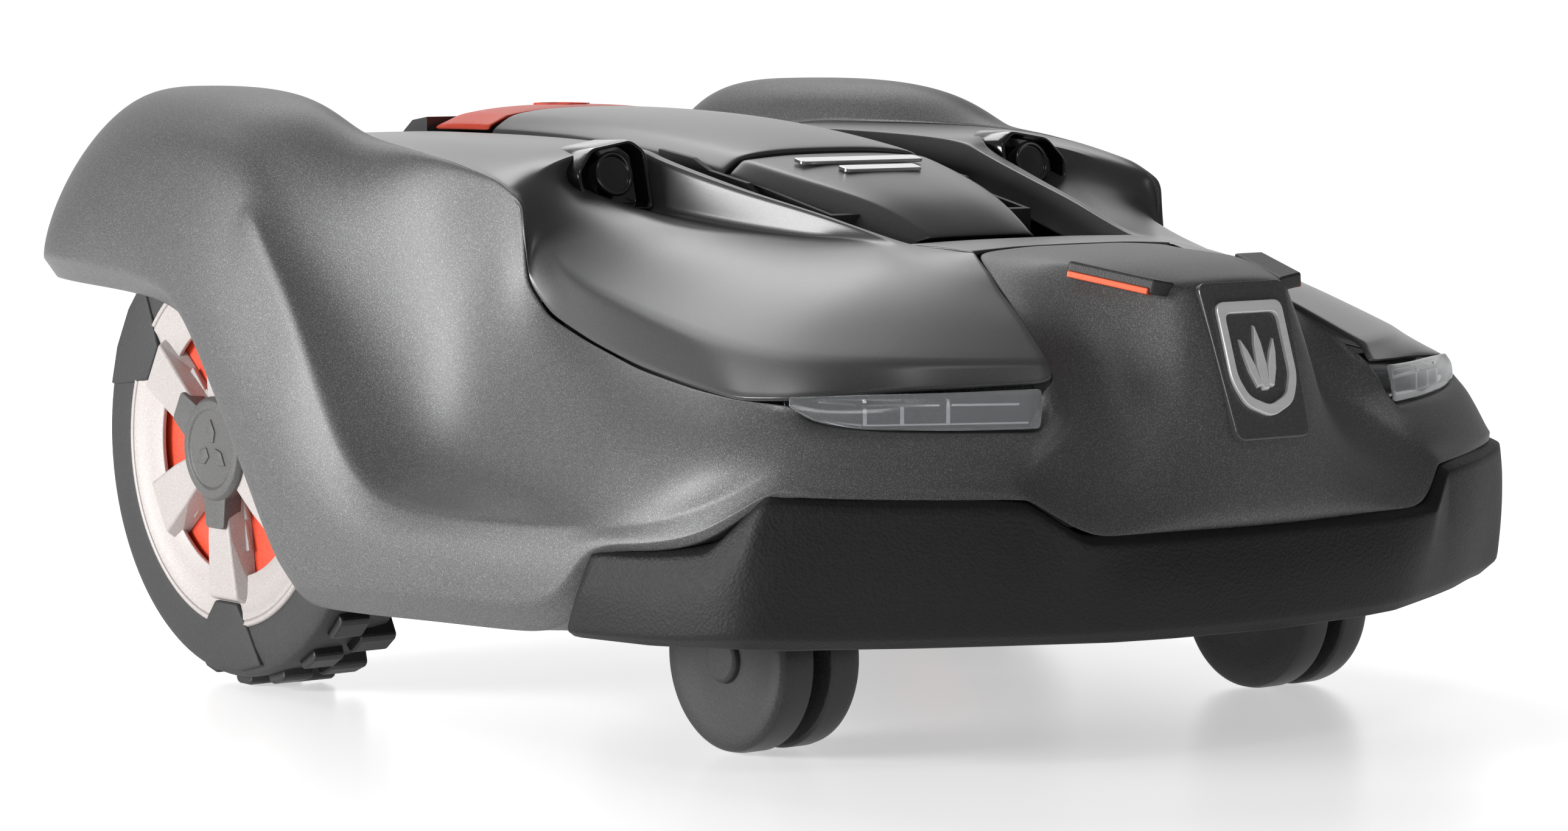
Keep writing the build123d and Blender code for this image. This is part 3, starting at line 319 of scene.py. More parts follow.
# ---------- body shell: columns from the middle of the nose, round the flank, to the middle of the tail
# rows: edge by the cover, shoulder, upper flank, valley, above the crease, crease, panel, lower edge
bodyShell = {
    "wall": 3.0,
    "breakWidth": 13.0,
    "tuck": 9.0,
    "returnWidth": 11.0,
    "nose": [
        [(0, -214, 234), (0, -240, 233.5), (0, -290, 230), (0, -326, 222), (0, -337, 198), (0, -347, 158),
         (0, -351, 134), (0, -356, 109)],
        [(30, -214, 234), (30, -240, 233.5), (30, -290, 229.5), (28, -327, 221), (27, -338, 198),
         (24, -348, 156), (26, -351, 133), (30, -355, 109)],
        [(64, -214, 232), (61, -245, 231), (50, -288, 228), (36, -322, 219), (40, -332, 192), (47, -338, 158),
         (56, -343, 134), (66, -351, 109)],
        [(76, -241, 220), (73, -256, 219), (64, -285, 208), (56, -300, 193), (58, -311, 174), (66, -323, 154),
         (80, -332, 133), (92, -349, 109)],
        [(88, -274, 204), (86, -282, 202), (82, -296, 190), (77, -304, 177), (80, -311, 163), (89, -318, 150),
         (101, -326, 131), (113, -347, 110)],
        [(100, -311, 180), (99, -314, 172), (96, -315, 165), (96, -316, 159), (102, -317, 153),
         (111, -317, 146), (122, -319, 136), (135, -333, 127)],
        [(107, -310, 174), (107, -315, 170), (106, -318, 165), (107, -319, 160), (110, -319, 154),
         (116, -318, 147), (126, -320, 137), (138, -332, 127.4)],
        [(114, -308, 157), (115, -314, 156.5), (116, -318.4, 156), (118, -319.6, 154), (121, -319.6, 150),
         (127, -319, 144), (134, -321, 136), (144, -329, 127.8)],
        [(148, -291, 157), (150, -298, 157), (152, -302.4, 156.5), (154, -304.4, 154.5), (157, -305.6, 150),
         (161, -307, 144), (166, -309, 136), (172, -315, 128)],
        [(183, -272, 158), (186, -279, 158), (189, -283.4, 157.5), (191, -286, 155), (194, -288.4, 150),
         (197, -290, 144), (200, -292, 137), (205, -296, 129)],
        [(199, -261, 162), (203, -266, 162), (206, -271, 161), (209, -274, 158), (213, -276.6, 152),
         (217, -278, 145), (221, -280, 137), (226, -283, 130)],
        [(215, -262, 170), (217, -264, 165), (219, -266, 160), (222, -268, 155), (225, -269, 149),
         (229, -270, 143), (233, -270, 137), (239, -269, 131)],
    ],
    "flank": [
        [(223, -232, 171), (228, -233, 166), (236, -234, 158), (243, -236, 148), (248, -238, 136),
         (246, -239, 124), (249, -240, 114), (251, -241, 106)],
        [(221, -196, 174), (228, -196, 168), (240, -197, 155), (248, -199, 140), (254, -200, 124),
         (256, -200, 113), (259, -200, 107), (260, -200, 101)],
        [(219, -160, 179), (227, -160, 172), (240, -162, 156), (248, -163, 139), (254, -164, 122),
         (261, -165, 110), (264, -166, 105), (264, -169, 100)],
        [(218, -148, 181), (227, -145, 174), (238, -145, 157), (246, -146, 139), (254, -147, 120),
         (263, -148, 109), (268, -149, 90), (264, -152, 58)],
        [(215, -105, 191), (224, -100, 182), (233, -98, 160), (240, -98, 140), (248, -98, 120),
         (266, -98, 108), (272, -98, 92), (267, -100, 55)],
        [(213, -72, 201), (219, -60, 192), (225, -52, 165), (231, -50, 141), (242, -50, 119), (267, -50, 108),
         (275, -50, 92), (270, -50, 54)],
        [(212, -54, 216), (217, -40, 212), (221, -27, 178), (228, -19, 147), (241, -12, 124), (268, -8, 110),
         (277, -5, 93), (272, 2, 52)],
        [(212, -51, 238), (215, -34, 238), (219, -12, 202), (227, 1, 169), (243, 12, 142), (268, 20, 127),
         (279, 24, 101), (272, 40, 51)],
        [(212, -50, 255), (214, -32, 256), (219, -4, 228), (228, 15, 195), (245, 30, 165), (268, 40, 154),
         (280, 52, 112), (273, 66, 51.5)],
        [(212, -28, 265), (214, -14, 266), (218, 10, 246), (231, 32, 217), (249, 50, 189), (268, 58, 184),
         (280, 70, 128), (273, 83, 68)],
        [(212, 10, 273), (215, 14, 273), (221, 30, 260), (235, 50, 237), (251, 68, 212), (267, 76, 208),
         (279, 90, 150), (275, 100, 97)],
        [(212, 50, 279), (217, 52, 279), (228, 62, 268), (241, 76, 251), (254, 90, 235), (266, 98, 231),
         (279, 112, 172), (275, 120, 127)],
        [(203, 88, 282), (210, 89, 285), (225, 92, 286), (240, 100, 276), (252, 110, 261), (264, 119, 255),
         (278, 134, 196), (275, 139, 153)],
        [(192, 120, 283), (199, 121, 293), (216, 122, 300), (235, 127, 294), (250, 134, 279), (262, 141, 271),
         (276, 156, 216), (275, 155, 175)],
        [(182, 155, 283), (188, 156, 298), (207, 158, 307), (231, 160, 302), (249, 166, 287), (261, 173, 276),
         (274, 184, 226), (274, 173, 191.5)],
        [(176, 196, 283), (182, 197, 300), (203, 200, 309), (228, 202, 305), (247, 206, 289), (259, 211, 275),
         (271, 217, 234), (272, 202, 197.5)],
        [(172, 243, 278), (178, 244, 298), (199, 247, 309), (224, 249, 304), (244, 251, 287), (257, 254, 269),
         (267, 256, 234), (268, 246, 200)],
        [(169, 290, 267), (175, 291, 292), (195, 293, 309), (219, 294, 301), (239, 295, 281), (252, 296, 260),
         (262, 297, 231), (264, 293, 201)],
        [(168, 325, 250), (174, 328, 276), (192, 331, 299), (214, 330, 290), (234, 328, 271), (247, 327, 249),
         (256, 326, 226), (258, 326, 202)],
        [(167, 344, 232), (172, 350, 252), (189, 356, 268), (210, 355, 261), (229, 351, 249), (241, 348, 236),
         (248, 345, 220), (250, 343, 202)],
        [(157, 343.6, 232), (164, 353, 233), (183, 360, 232), (203, 360, 229), (220, 358, 223),
         (231, 356, 216), (236, 354, 209), (238, 352, 202)],
        [(112, 322, 246), (113, 336, 240), (115, 347, 231), (116, 353, 223), (117, 356, 216), (117, 357, 211),
         (117, 357, 206), (117, 356, 202)],
        [(0, 322, 246), (0, 336, 240), (0, 347, 231), (0, 353, 223), (0, 356, 216), (0, 357, 211),
         (0, 357, 206), (0, 356, 202)],
    ],
}


def edgedColumns(shell):
    # each column gets a narrow break along its lower edge, and a return that gives the edge its depth
    columns = []
    for points in shell["nose"] + shell["flank"]:
        last, before = Vector(points[-1]), Vector(points[-2])
        centre = Vector((0, -214 if last.y < -240 else last.y, last.z))
        inward = (centre - last).normalized() if (centre - last).length > 1 else Vector((0, -1, 0))
        rise = (before - last).normalized()
        chamfer = 1.0 if last.y > -165 else 0.45
        breakLine = last + rise * min(shell["breakWidth"] * chamfer, (before - last).length * 0.6)
        edge = last + inward * shell["tuck"] * chamfer
        fold = last + inward * (shell["tuck"] * chamfer + shell["returnWidth"])
        columns.append(list(points[:-1]) + [tuple(breakLine), tuple(edge), tuple(fold)])
    return columns


cagePiece("bodyShell", edgedColumns(bodyShell), (0, 0, 0.1), "bodyPlastic", "body", ["body_shell"],
          bodyShell["wall"],
          rows=[(5, 11, 24, 0.8), (7, 10, None, 0.7), (2, 6, 10, 0.5), (8, 0, None, 0.6), (3, 0, 2, 0.45),
                (0, 0, None, 0.6)],
          crossings=[(6, 0, 3, 0.6), (7, 0, 3, 0.6), (2, 1, 5, 0.5)])

# ---------- top cover: columns from the nose seam back to the tail
# rows: opening edge, rail top, foot of the rail, inner edge of the wing, wing, wing crease, lower seam
topCover = {
    "wall": 2.6,
    "wing": [
        [(64.6, -213.4, 232.5), (69, -223, 228.5), (74, -236, 223), (80, -250, 216), (89, -275, 205),
         (102, -309, 187), (104, -313, 178.5)],
        [(66, -205, 233), (75, -211, 230), (84, -220, 225.5), (96, -233, 219), (114, -256, 207),
         (139, -289, 187), (138, -293, 176.5)],
        [(68, -192, 234), (80, -196, 231.5), (93, -203, 227.5), (111, -214, 222), (138, -235, 209),
         (172, -266, 187.6), (173, -275, 175.5)],
        [(71, -182, 234.5), (82, -184, 233), (96, -188, 230), (118, -196, 225.5), (154, -212, 212.5),
         (195, -238, 188.5), (212, -260, 173.6)],
        [(73, -174, 235), (77, -171, 235.5), (81, -169, 235), (88, -168, 235), (150, -180, 222),
         (204, -205, 192), (221.5, -231, 172)],
        [(79, -146, 242), (84, -143, 243), (86, -140, 236), (97, -127, 236.5), (155, -142, 227),
         (206, -165, 199), (218.5, -193, 175)],
        [(86, -118, 249.5), (91, -115, 250.5), (94, -112, 237), (118, -100, 238.5), (166, -110, 232.5),
         (206, -125, 207.5), (217, -150, 181.5)],
        [(93, -88, 256), (99, -85, 257), (102, -82, 239), (147, -84, 241.5), (178, -83, 236), (206, -88, 217),
         (214.5, -112, 190)],
        [(99, -52, 265), (107, -50, 266), (110, -48, 243), (153, -49, 251), (180, -52, 248),
         (205, -62, 227.5), (212, -74, 201.5)],
        [(104, -22, 273), (113, -19, 274.5), (116, -18, 246), (159, -17, 262), (184, -32, 261),
         (203, -48, 245), (211.4, -55, 216)],
        [(104.5, -14, 276), (116, -15, 278.5), (123, -15.5, 279.5), (156, -16, 275), (188, -26, 268),
         (204, -42, 257), (211.4, -52, 238)],
        [(104.5, 0, 278), (117, 0, 279.5), (132, -2, 280), (160, -3, 277), (186, -12, 272.5), (204, -34, 264),
         (211.4, -50.5, 254.5)],
        [(104, 18, 279.5), (118, 18, 280), (136, 18, 280), (160, 16, 278.5), (184, 10, 275.5),
         (203, -12, 269.5), (211.4, -28, 265)],
    ],
    "deck": [
        [(103, 56, 281), (118, 56, 281), (136, 55, 281), (158, 54, 280.5), (182, 52, 279.5), (204, 30, 276),
         (211.4, 10, 273)],
        [(102, 80, 281.5), (116, 80, 281.5), (134, 80, 281.5), (156, 79, 281.5), (178, 76, 281),
         (202, 62, 279.5), (211.4, 50, 278.6)],
        [(101, 110, 282), (115, 110, 282), (132, 110, 282), (150, 108, 282), (168, 104, 282), (190, 96, 282),
         (202.4, 88, 281.6)],
        [(100, 150, 282), (113, 150, 282), (127, 150, 282), (142, 148, 282), (156, 144, 282), (174, 132, 282),
         (191.4, 120, 282.4)],
        [(99, 195, 282), (111, 195, 282), (124, 195, 282), (137, 194, 282), (149, 190, 282), (164, 176, 282),
         (181.4, 156, 282.4)],
        [(98.5, 230, 280), (110, 230, 280), (121, 230, 280), (133, 229, 280), (145, 226, 280),
         (160, 214, 281), (175.4, 197, 282.4)],
        [(98, 262, 275), (109, 262, 275), (119, 262, 275), (131, 261, 275), (143, 259, 275),
         (157, 252, 276.5), (171.4, 244, 277.4)],
        [(88, 290, 265), (106, 291, 265), (117, 291, 265), (129, 291, 265), (141, 291, 265),
         (155, 291, 265.5), (168.4, 291, 266)],
        [(82, 303, 258), (97, 313, 252.6), (112, 321.2, 246.8), (127, 329, 241.6), (141, 335, 237.6),
         (154, 339.6, 234.6), (165.6, 342.6, 233)],
    ],
    "lipDrop": 22.0,
}


def lippedColumns(cover):
    # the opening edge turns down into the channel beside the console
    columns = []
    for points in cover["wing"] + cover["deck"]:
        x, y, z = points[0]
        drop = cover["lipDrop"] if y > -172 else 9.0
        foot = (x + 1.5, y + (2 if y < -172 else 0), z - drop)
        columns.append([foot, (x + 0.4, y, z - 1.5)] + list(points))
    return columns


cagePiece("topCover", lippedColumns(topCover), (0.1, 0, 0), "coverPlastic", "body", ["top_cover"],
          topCover["wall"],
          rows=[(2, 3, None, 0.35), (3, 4, 10, 0.55), (4, 5, 9, 0.5), (5, 5, 10, 0.8), (7, 0, 8, 0.8),
                (8, 0, None, 0.5)],
          crossings=[(10, 4, 6, 0.8), (9, 4, 5, 0.7), (0, 2, 8, 0.5)])

# ---------- bridge between the console opening and the nose
bridge = {
    "wall": 2.6,
    "columns": [
        [(0, -164, 222), (0, -166, 232), (0, -170, 235.5), (0, -182, 236), (0, -198, 235.5),
         (0, -213.4, 234.4)],
        [(36, -165, 222), (36, -167, 232), (36, -171, 235.5), (36, -182, 236), (36, -198, 235.2),
         (36, -213.4, 234.2)],
        [(64, -168, 222), (64, -170, 232), (64, -173, 235), (65, -184, 235), (65, -198, 234.4),
         (63.6, -213.4, 232.8)],
        [(75, -172, 224), (73.4, -173, 233.2), (73, -174, 235), (71, -182, 234.5), (68, -192, 234),
         (65, -212.4, 232.6)],
    ],
}
cagePiece("coverBridge", bridge["columns"], (0, -0.19, 0.1), "coverPlastic", "body", (),
          bridge["wall"], rows=[(2, 0, 3, 0.3), (5, 0, 3, 0.5)])

# ---------- deck between the console and the tail
tail = {
    "wall": 2.6,
    "columns": [
        [(0, 288.5, 246), (0, 288.8, 260), (0, 291, 264.6), (0, 300, 259.8), (0, 312, 252.8),
         (0, 321.4, 246.8)],
        [(45, 288.5, 246), (45, 288.8, 260), (45, 291, 264.6), (45, 300, 259.8), (45, 312, 252.8),
         (45, 321.4, 246.8)],
        [(84, 288.5, 246), (85, 288.8, 260), (86, 291, 264.6), (84, 300, 259.6), (88, 312, 252.8),
         (90, 321.4, 246.8)],
        [(96, 286, 246), (98, 287, 261), (100, 290, 265), (98, 301, 259), (104, 314, 251.4),
         (110, 321.4, 246.8)],
    ],
}
cagePiece("coverTail", tail["columns"], (0, 0.3, 0.1), "coverPlastic", "body", (),
          tail["wall"], rows=[(5, 0, 3, 0.5)])

# ---------- soft bumper: rows from the upper edge down and under
bumper = {
    "wall": 12.0,
    "columns": [
        [(0, -338, 113), (0, -354, 110), (0, -358, 106), (0, -360, 86), (0, -358.5, 66), (0, -354, 60)],
        [(60, -335, 113), (61, -350, 110), (62, -354, 106), (63, -356.5, 86), (62, -353, 66), (61, -348, 60)],
        [(90, -333, 113), (92, -347, 110), (93, -351, 106), (94, -352, 86), (93, -347, 66), (92, -341, 60)],
        [(110, -329, 114), (113, -344, 111), (114, -348, 107), (115, -343, 86), (115, -337, 66),
         (113, -331, 60)],
        [(128, -313, 130), (134, -329, 127), (136, -334, 123.5), (140, -331, 94), (142, -324, 66),
         (140, -318, 60)],
        [(138, -308, 131), (145, -326, 128), (147, -330, 124.5), (151, -327, 95), (152, -319, 66),
         (150, -313, 60)],
        [(165, -299, 132), (171, -313, 128.5), (173, -318, 125), (177, -314, 96), (178, -306, 66),
         (175, -300, 60)],
        [(195, -281, 133), (203, -293, 129.5), (206, -298, 126), (212, -293, 97), (211, -286, 66),
         (207, -280, 60)],
        [(214, -268, 134), (223, -280, 130.5), (227, -284.5, 127), (232, -281, 97), (231, -276, 67),
         (226, -270, 60)],
        [(226, -258, 134), (235, -268, 131.5), (240.5, -271, 128), (250, -268, 97), (249, -266, 68),
         (241, -261, 61)],
        [(236, -240, 110), (245, -243, 107), (250.5, -244, 103.5), (256, -243, 84), (255, -241, 65),
         (248, -239, 60)],
        [(242, -212, 106), (251, -213, 103), (257.5, -213, 99.5), (262, -211, 80), (261, -209, 63),
         (255, -208, 58.5)],
        [(247, -172, 104), (257, -172, 101), (263.5, -172, 98), (267, -166, 80), (265, -156, 61),
         (259, -154, 57.5)],
    ],
}
cagePiece("frontBumper", bumper["columns"], (0, -0.1, 0.09), "bumperFoam", "body", ["front_bumper"],
          bumper["wall"], rows=[(2, 0, None, 0.75), (4, 0, None, 0.5)],
          crossings=[(k, 0, 3, 0.5) for k in (3, 4, 9, 10)], rimCrease=0.5)

# ---------- small shape helpers


def prismBetween(bm, outline, low, high, place=None, shrink=0.0):
    # an outline of (u, v) points pulled along w from low to high; place maps (u, v, w) to the frame
    place = place or Matrix.Identity(4)
    middle = sum((Vector((u, v)) for u, v in outline), Vector((0, 0))) / len(outline)
    base = [bm.verts.new(place @ Vector((u, v, low)) * mm) for u, v in outline]
    top = []
    for u, v in outline:
        pulled = middle + (Vector((u, v)) - middle) * (1 - shrink)
        top.append(bm.verts.new(place @ Vector((pulled.x, pulled.y, high)) * mm))
    count = len(outline)
    faces = [bm.faces.new(base[::-1]), bm.faces.new(top)]
    for k in range(count):
        faces.append(bm.faces.new((base[k], base[(k + 1) % count], top[(k + 1) % count], top[k])))
    bmesh.ops.recalc_face_normals(bm, faces=faces)
    return faces


def bridgeRings(bm, rings):
    # faces between each ring of points and the next one
    for lower, upper in zip(rings, rings[1:]):
        for k in range(len(lower)):
            n = (k + 1) % len(lower)
            bm.faces.new((lower[k], lower[n], upper[n], upper[k]))


def latheProfile(bm, profile, centre, axis, steps):
    # a profile of (distance along the axis, radius) turned a full circle
    along = Vector(axis).normalized()
    side = along.orthogonal().normalized()
    verts = [bm.verts.new((Vector(centre) + along * a + side * r) * mm) for a, r in profile]
    edges = [bm.edges.new((a, b)) for a, b in zip(verts, verts[1:])]
    geometry = verts + edges
    bmesh.ops.spin(bm, geom=geometry, cent=Vector(centre) * mm, axis=along, steps=steps, angle=math.tau,
                   use_merge=True, use_duplicate=False)
    bmesh.ops.remove_doubles(bm, verts=bm.verts, dist=0.00001)
    bmesh.ops.recalc_face_normals(bm, faces=bm.faces)


def barBetween(bm, start, end, outward, width, height, taper=1.0):
    # a bar of rectangular section between two points
    start, end = Vector(start), Vector(end)
    along = (end - start).normalized()
    across = (Vector(outward) - along * along.dot(Vector(outward))).normalized()
    up = along.cross(across)
    half = (end - start).length / 2
    place = Matrix.Translation((start + end) / 2) @ Matrix((along, across, up)).transposed().to_4x4()
    outline = [(-half, -width / 2), (half, -width / 2), (half * taper, width / 2), (-half * taper, width / 2)]
    return prismBetween(bm, outline, -height / 2, height / 2, place)


# ---------- headlights: a clear lens over a dark tray with light guides
headlight = {
    "lens": [
        [(112, -315, 176), (114, -317.5, 166), (115, -317.5, 158)],
        [(118, -313, 176), (120, -316, 166), (121, -315.5, 158)],
        [(150, -295, 175), (153, -300, 166), (154, -300, 158)],
        [(185, -274, 174.5), (189, -280.5, 166), (190, -280, 159)],
        [(201, -264, 174), (205, -269, 168), (208, -269, 163)],
        [(214, -258, 174), (215, -259, 172), (216, -260, 170)],
    ],
    "wall": 2.0,
    "guideDepth": 6.0,
    "trayDepth": 16.0,
}
behindLens = (0.1, -0.2, 0.16)
cagePiece("headlightLens", headlight["lens"], behindLens, "lampClear", "body", ["headlight_lens"],
          headlight["wall"], rows=[(2, 0, None, 0.8)], mergeHalves=False)
inward = Vector((-0.49, 0.87, 0))
trayColumns = [[tuple(Vector(p) + inward * headlight["trayDepth"] + Vector((0, 0, z)))
                for p, z in zip(column, (5, 0, -7))] for column in headlight["lens"]]
cagePiece("headlightTray", trayColumns, behindLens, "lampTray", "body", (),
          headlight["wall"], levels=2, mergeHalves=False)

bm = bmesh.new()
guideLine = [Vector(c[1]) + inward * headlight["guideDepth"] for c in headlight["lens"][1:5]]
for drop, cut in ((-5.5, 0.0), (3.0, 0.12)):
    for a, b in zip(guideLine, guideLine[1:]):
        barBetween(bm, a.lerp(b, cut) + Vector((0, 0, drop)), b + Vector((0, 0, drop)), -inward, 3.0, 1.4)
for share in (0.03, 0.55, 0.97):
    post = guideLine[1].lerp(guideLine[2], share)
    barBetween(bm, post + Vector((0, 0, -6)), post + Vector((0, 0, 6)), -inward, 3.0, 2.0)
finishPiece("lightGuides", bm, "brightTrim", "body", (), smooth=False, soft=(0.4, 2), twoSided=True)

# ---------- nose plate with its badge, and the charging contacts
nose = {
    "top": (0, -327.5, 221.0),
    "foot": (0, -351.0, 149.0),
    "plateHalf": (28.0, 23.0),
    "badgeHalf": (21.0, 28.0),
    "contactFrom": (59.0, -272, 227.6),
    "contactTo": (40.5, -322, 218.6),
}
down = (Vector(nose["foot"]) - Vector(nose["top"])).normalized()
noseFacing = Vector((1, 0, 0)).cross(down).normalized()
if noseFacing.y > 0:
    noseFacing = -noseFacing
plateMiddle = (Vector(nose["foot"]) + Vector(nose["top"])) / 2
noseTurn = Matrix((Vector((1, 0, 0)), -down, noseFacing)).transposed().to_4x4()
onNose = Matrix.Translation(plateMiddle) @ noseTurn
plateLength = (Vector(nose["foot"]) - Vector(nose["top"])).length / 2
wide, narrow = nose["plateHalf"]


def roundedOutline(corners, radius, steps=5):
    # straight sides with an arc in each corner
    outline = []
    count = len(corners)
    for k, corner in enumerate(corners):
        here = Vector(corner)
        before = (Vector(corners[k - 1]) - here).normalized()
        after = (Vector(corners[(k + 1) % count]) - here).normalized()
        for step in range(steps + 1):
            t = step / steps
            start, end = here + before * radius, here + after * radius
            outline.append(tuple(start.lerp(here, t).lerp(here.lerp(end, t), t)))
    return outline


plateOutline = roundedOutline([(-wide, plateLength), (-narrow, -plateLength), (narrow, -plateLength),
                               (wide, plateLength)], 5.0)
bm = bmesh.new()
prismBetween(bm, plateOutline, -4.0, 1.2, onNose)
finishPiece("nosePlate", bm, "noseGloss", "body", (), smooth=False, soft=(0.8,))

halfWide, halfTall = nose["badgeHalf"]
shield = [(-halfWide, halfTall), (-halfWide, -halfTall * 0.35), (-halfWide * 0.72, -halfTall * 0.78),
          (0, -halfTall), (halfWide * 0.72, -halfTall * 0.78), (halfWide, -halfTall * 0.35),
          (halfWide, halfTall)]
shieldOutline = roundedOutline(shield, 5.0)
bm = bmesh.new()
rims = []
for grow, level in ((1.0, 0.8), (1.0, 3.2), (0.80, 3.2), (0.80, 0.8)):
    rims.append([bm.verts.new(onNose @ Vector((u * grow, v * grow, level)) * mm) for u, v in shieldOutline])
bridgeRings(bm, rims + rims[:1])
bmesh.ops.recalc_face_normals(bm, faces=bm.faces)
blade = [(-2.2, -15), (2.2, -15), (3.4, -3), (2.6, 8), (0.4, 17), (-2.0, 8), (-3.2, -3)]
for lean, shift, size in ((0, 0, 1.0), (0.30, 7.0, 0.78), (-0.30, -7.0, 0.78)):
    turned = [(u * size * math.cos(lean) + v * size * math.sin(lean) + shift,
               v * size * math.cos(lean) - u * size * math.sin(lean) + (size - 1) * 10) for u, v in blade]
    prismBetween(bm, turned, 0.8, 3.0, onNose, shrink=0.06)
finishPiece("noseBadge", bm, "badgeMetal", "body", ["nose_badge"], smooth=False, soft=(0.45,))

contactStart, contactEnd = Vector(nose["contactFrom"]), Vector(nose["contactTo"])
outward = Vector((0.86, -0.36, 0.10))
bm = bmesh.new()
barBetween(bm, contactStart, contactEnd, outward, 13.0, 7.0, taper=0.84)
finishPiece("contactHolders", bm, "chassisPlastic", "body", (), smooth=False, soft=(1.2,),
            twoSided=True)
bm = bmesh.new()
along = (contactEnd - contactStart).normalized()
outSide = (outward - along * along.dot(outward)).normalized()
downSide = -outSide.cross(along) if outSide.cross(along).z > 0 else outSide.cross(along)
stripShift = outSide * 4.4 + downSide * 2.6
stripStart = contactStart.lerp(contactEnd, 0.09) + stripShift
stripEnd = contactStart.lerp(contactEnd, 0.88) + stripShift
barBetween(bm, stripStart, stripEnd, outSide, 6.0, 3.4)
finishPiece("contactStrips", bm, "copperStrip", "body", ["charge_contacts"], smooth=False,
            soft=(0.6,), twoSided=True)
print("nose done")

# ---------- sensor pods in the scoops
pod = {
    "outline": [(117, 247), (152, 249), (162, 257), (163, 267), (152, 279), (126, 283), (117.5, 277)],
    "mouth": (-33.0, -20.0),
    "sensor": (139.0, 264.0),
    "sensorR": 11.5,
}
mouth, rear = pod["mouth"]
podOutline = roundedOutline(pod["outline"], 3.5, 4)
podMiddle = sum((Vector(p) for p in podOutline), Vector((0, 0))) / len(podOutline)


def scaledRing(bm, grow, y):
    ring = []
    for u, v in podOutline:
        at = podMiddle + (Vector((u, v)) - podMiddle) * grow
        lean = (at.y - 247) * 0.24  # the mouth leans back as it rises
        ring.append(bm.verts.new(Vector((at.x, y + lean, at.y)) * mm))
    return ring


bm = bmesh.new()
rings = [scaledRing(bm, grow, y) for grow, y in ((0.97, rear + 14), (1.0, mouth + 4), (0.97, mouth),
                                                 (0.90, mouth - 0.5), (0.86, mouth + 2), (0.80, mouth + 9),
                                                 (0.45, mouth + 10))]
bridgeRings(bm, rings)
bm.faces.new(rings[-1])
bm.faces.new(rings[0][::-1])
bmesh.ops.recalc_face_normals(bm, faces=bm.faces)
finishPiece("podBezel", bm, "glossBlack", "body", ["sensor_pod"], soft=(0.5, 3, 40),
            twoSided=True)
sx, sz = pod["sensor"]
r = pod["sensorR"]
bm = bmesh.new()
sensorProfile = [(-2, r - 2), (5.5, r - 1), (8.5, r), (9.5, r - 1), (9.0, r - 2.2), (7.8, r - 2.8), (8.6, 5),
                 (9.0, 0)]
latheProfile(bm, sensorProfile, (sx, mouth + 14, sz), (0, -1, 0.24), 48)
finishPiece("podSensor", bm, "glossBlack", "body", (), soft=(0.3, 2, 30), twoSided=True)
print("sensor pods done")

# ---------- console: front cover, hatch and stop button share one cross section
console = {
    "wall": 2.4,
    "trim": [(-50, 270.6, 40), (-67, 266.9, 25)],  # y, z and half length of each bright bar
    "trimSlope": 13.2,
    "ringAt": 206,
    "ringR": 16,
    "front": [
        [(0, -147, 236), (20, -147, 236), (32, -145, 235.5), (38, -142, 234), (43, -138, 229)],
        [(0, -144, 239), (20, -144, 239), (34, -141, 238.5), (42, -136, 235), (47, -131, 228)],
        [(0, -122, 251.5), (24, -121, 251.5), (40, -117, 250), (50, -108, 242), (56, -103, 229)],
        [(0, -96, 259.5), (28, -95, 259.3), (48, -91, 257.5), (59, -82, 248), (63, -79, 233)],
        [(0, -62, 267.5), (32, -61, 267.2), (56, -58, 265), (66, -53, 256), (68, -51, 240)],
        [(0, -31, 274), (32, -31, 273.6), (59, -30.5, 271.4), (67.5, -29.5, 264), (69, -29, 246)],
        [(0, -28, 273.4), (32, -28, 273), (58.5, -27.8, 270.8), (67, -27.5, 263.5), (68.6, -27, 246)],
    ],
    "hatch": [
        [(0, -24.6, 272), (36, -24.6, 271.6), (57, -24.4, 269), (66, -24.2, 264), (67.5, -24, 261)],
        [(0, -26.2, 275.8), (36, -26.2, 275.4), (58, -26, 272.8), (68, -25.6, 266), (69.4, -25.4, 261.5)],
        [(0, -24, 277.4), (36, -24, 277), (58, -23.6, 274.2), (68.5, -22, 267), (69.6, -21.6, 262)],
        [(0, 20, 285.4), (36, 20, 284.6), (58, 20, 281), (69, 20, 272.5), (70, 20, 264.5)],
        [(0, 78, 291.6), (36, 78, 290.8), (58, 78, 287.2), (69, 78, 279), (70, 78, 271)],
        [(0, 130, 294), (36, 130, 293.2), (57, 130, 289.8), (68.6, 130, 282), (70, 130, 275)],
        [(0, 174, 294.6), (36, 174, 293.8), (56, 174, 290.4), (68, 174, 283), (69.6, 174, 277)],
        [(0, 176.6, 293.6), (36, 176.6, 292.8), (55.6, 176.6, 289.8), (67.4, 176.6, 282.6), (69, 176.6, 277)],
    ],
    "stop": [
        [(0, 179.4, 293), (36, 179.4, 292.4), (55, 179.4, 289.4), (66.6, 179.4, 284.6), (68, 179.4, 282.4)],
        [(0, 181.6, 294.8), (36, 181.6, 294), (56, 181.6, 290.8), (68, 181.6, 285.2), (69.4, 181.6, 282.4)],
        [(0, 205, 295.4), (36, 205, 294.4), (56, 205, 291), (68, 205, 285.2), (69.4, 205, 282.4)],
        [(0, 226, 294), (36, 226, 293), (55, 226, 289.8), (67, 226, 284.4), (68.6, 226, 282.4)],
        [(0, 233, 290), (36, 233, 289.4), (53, 233, 287), (64, 233, 283.6), (66, 233, 282.4)],
    ],
}


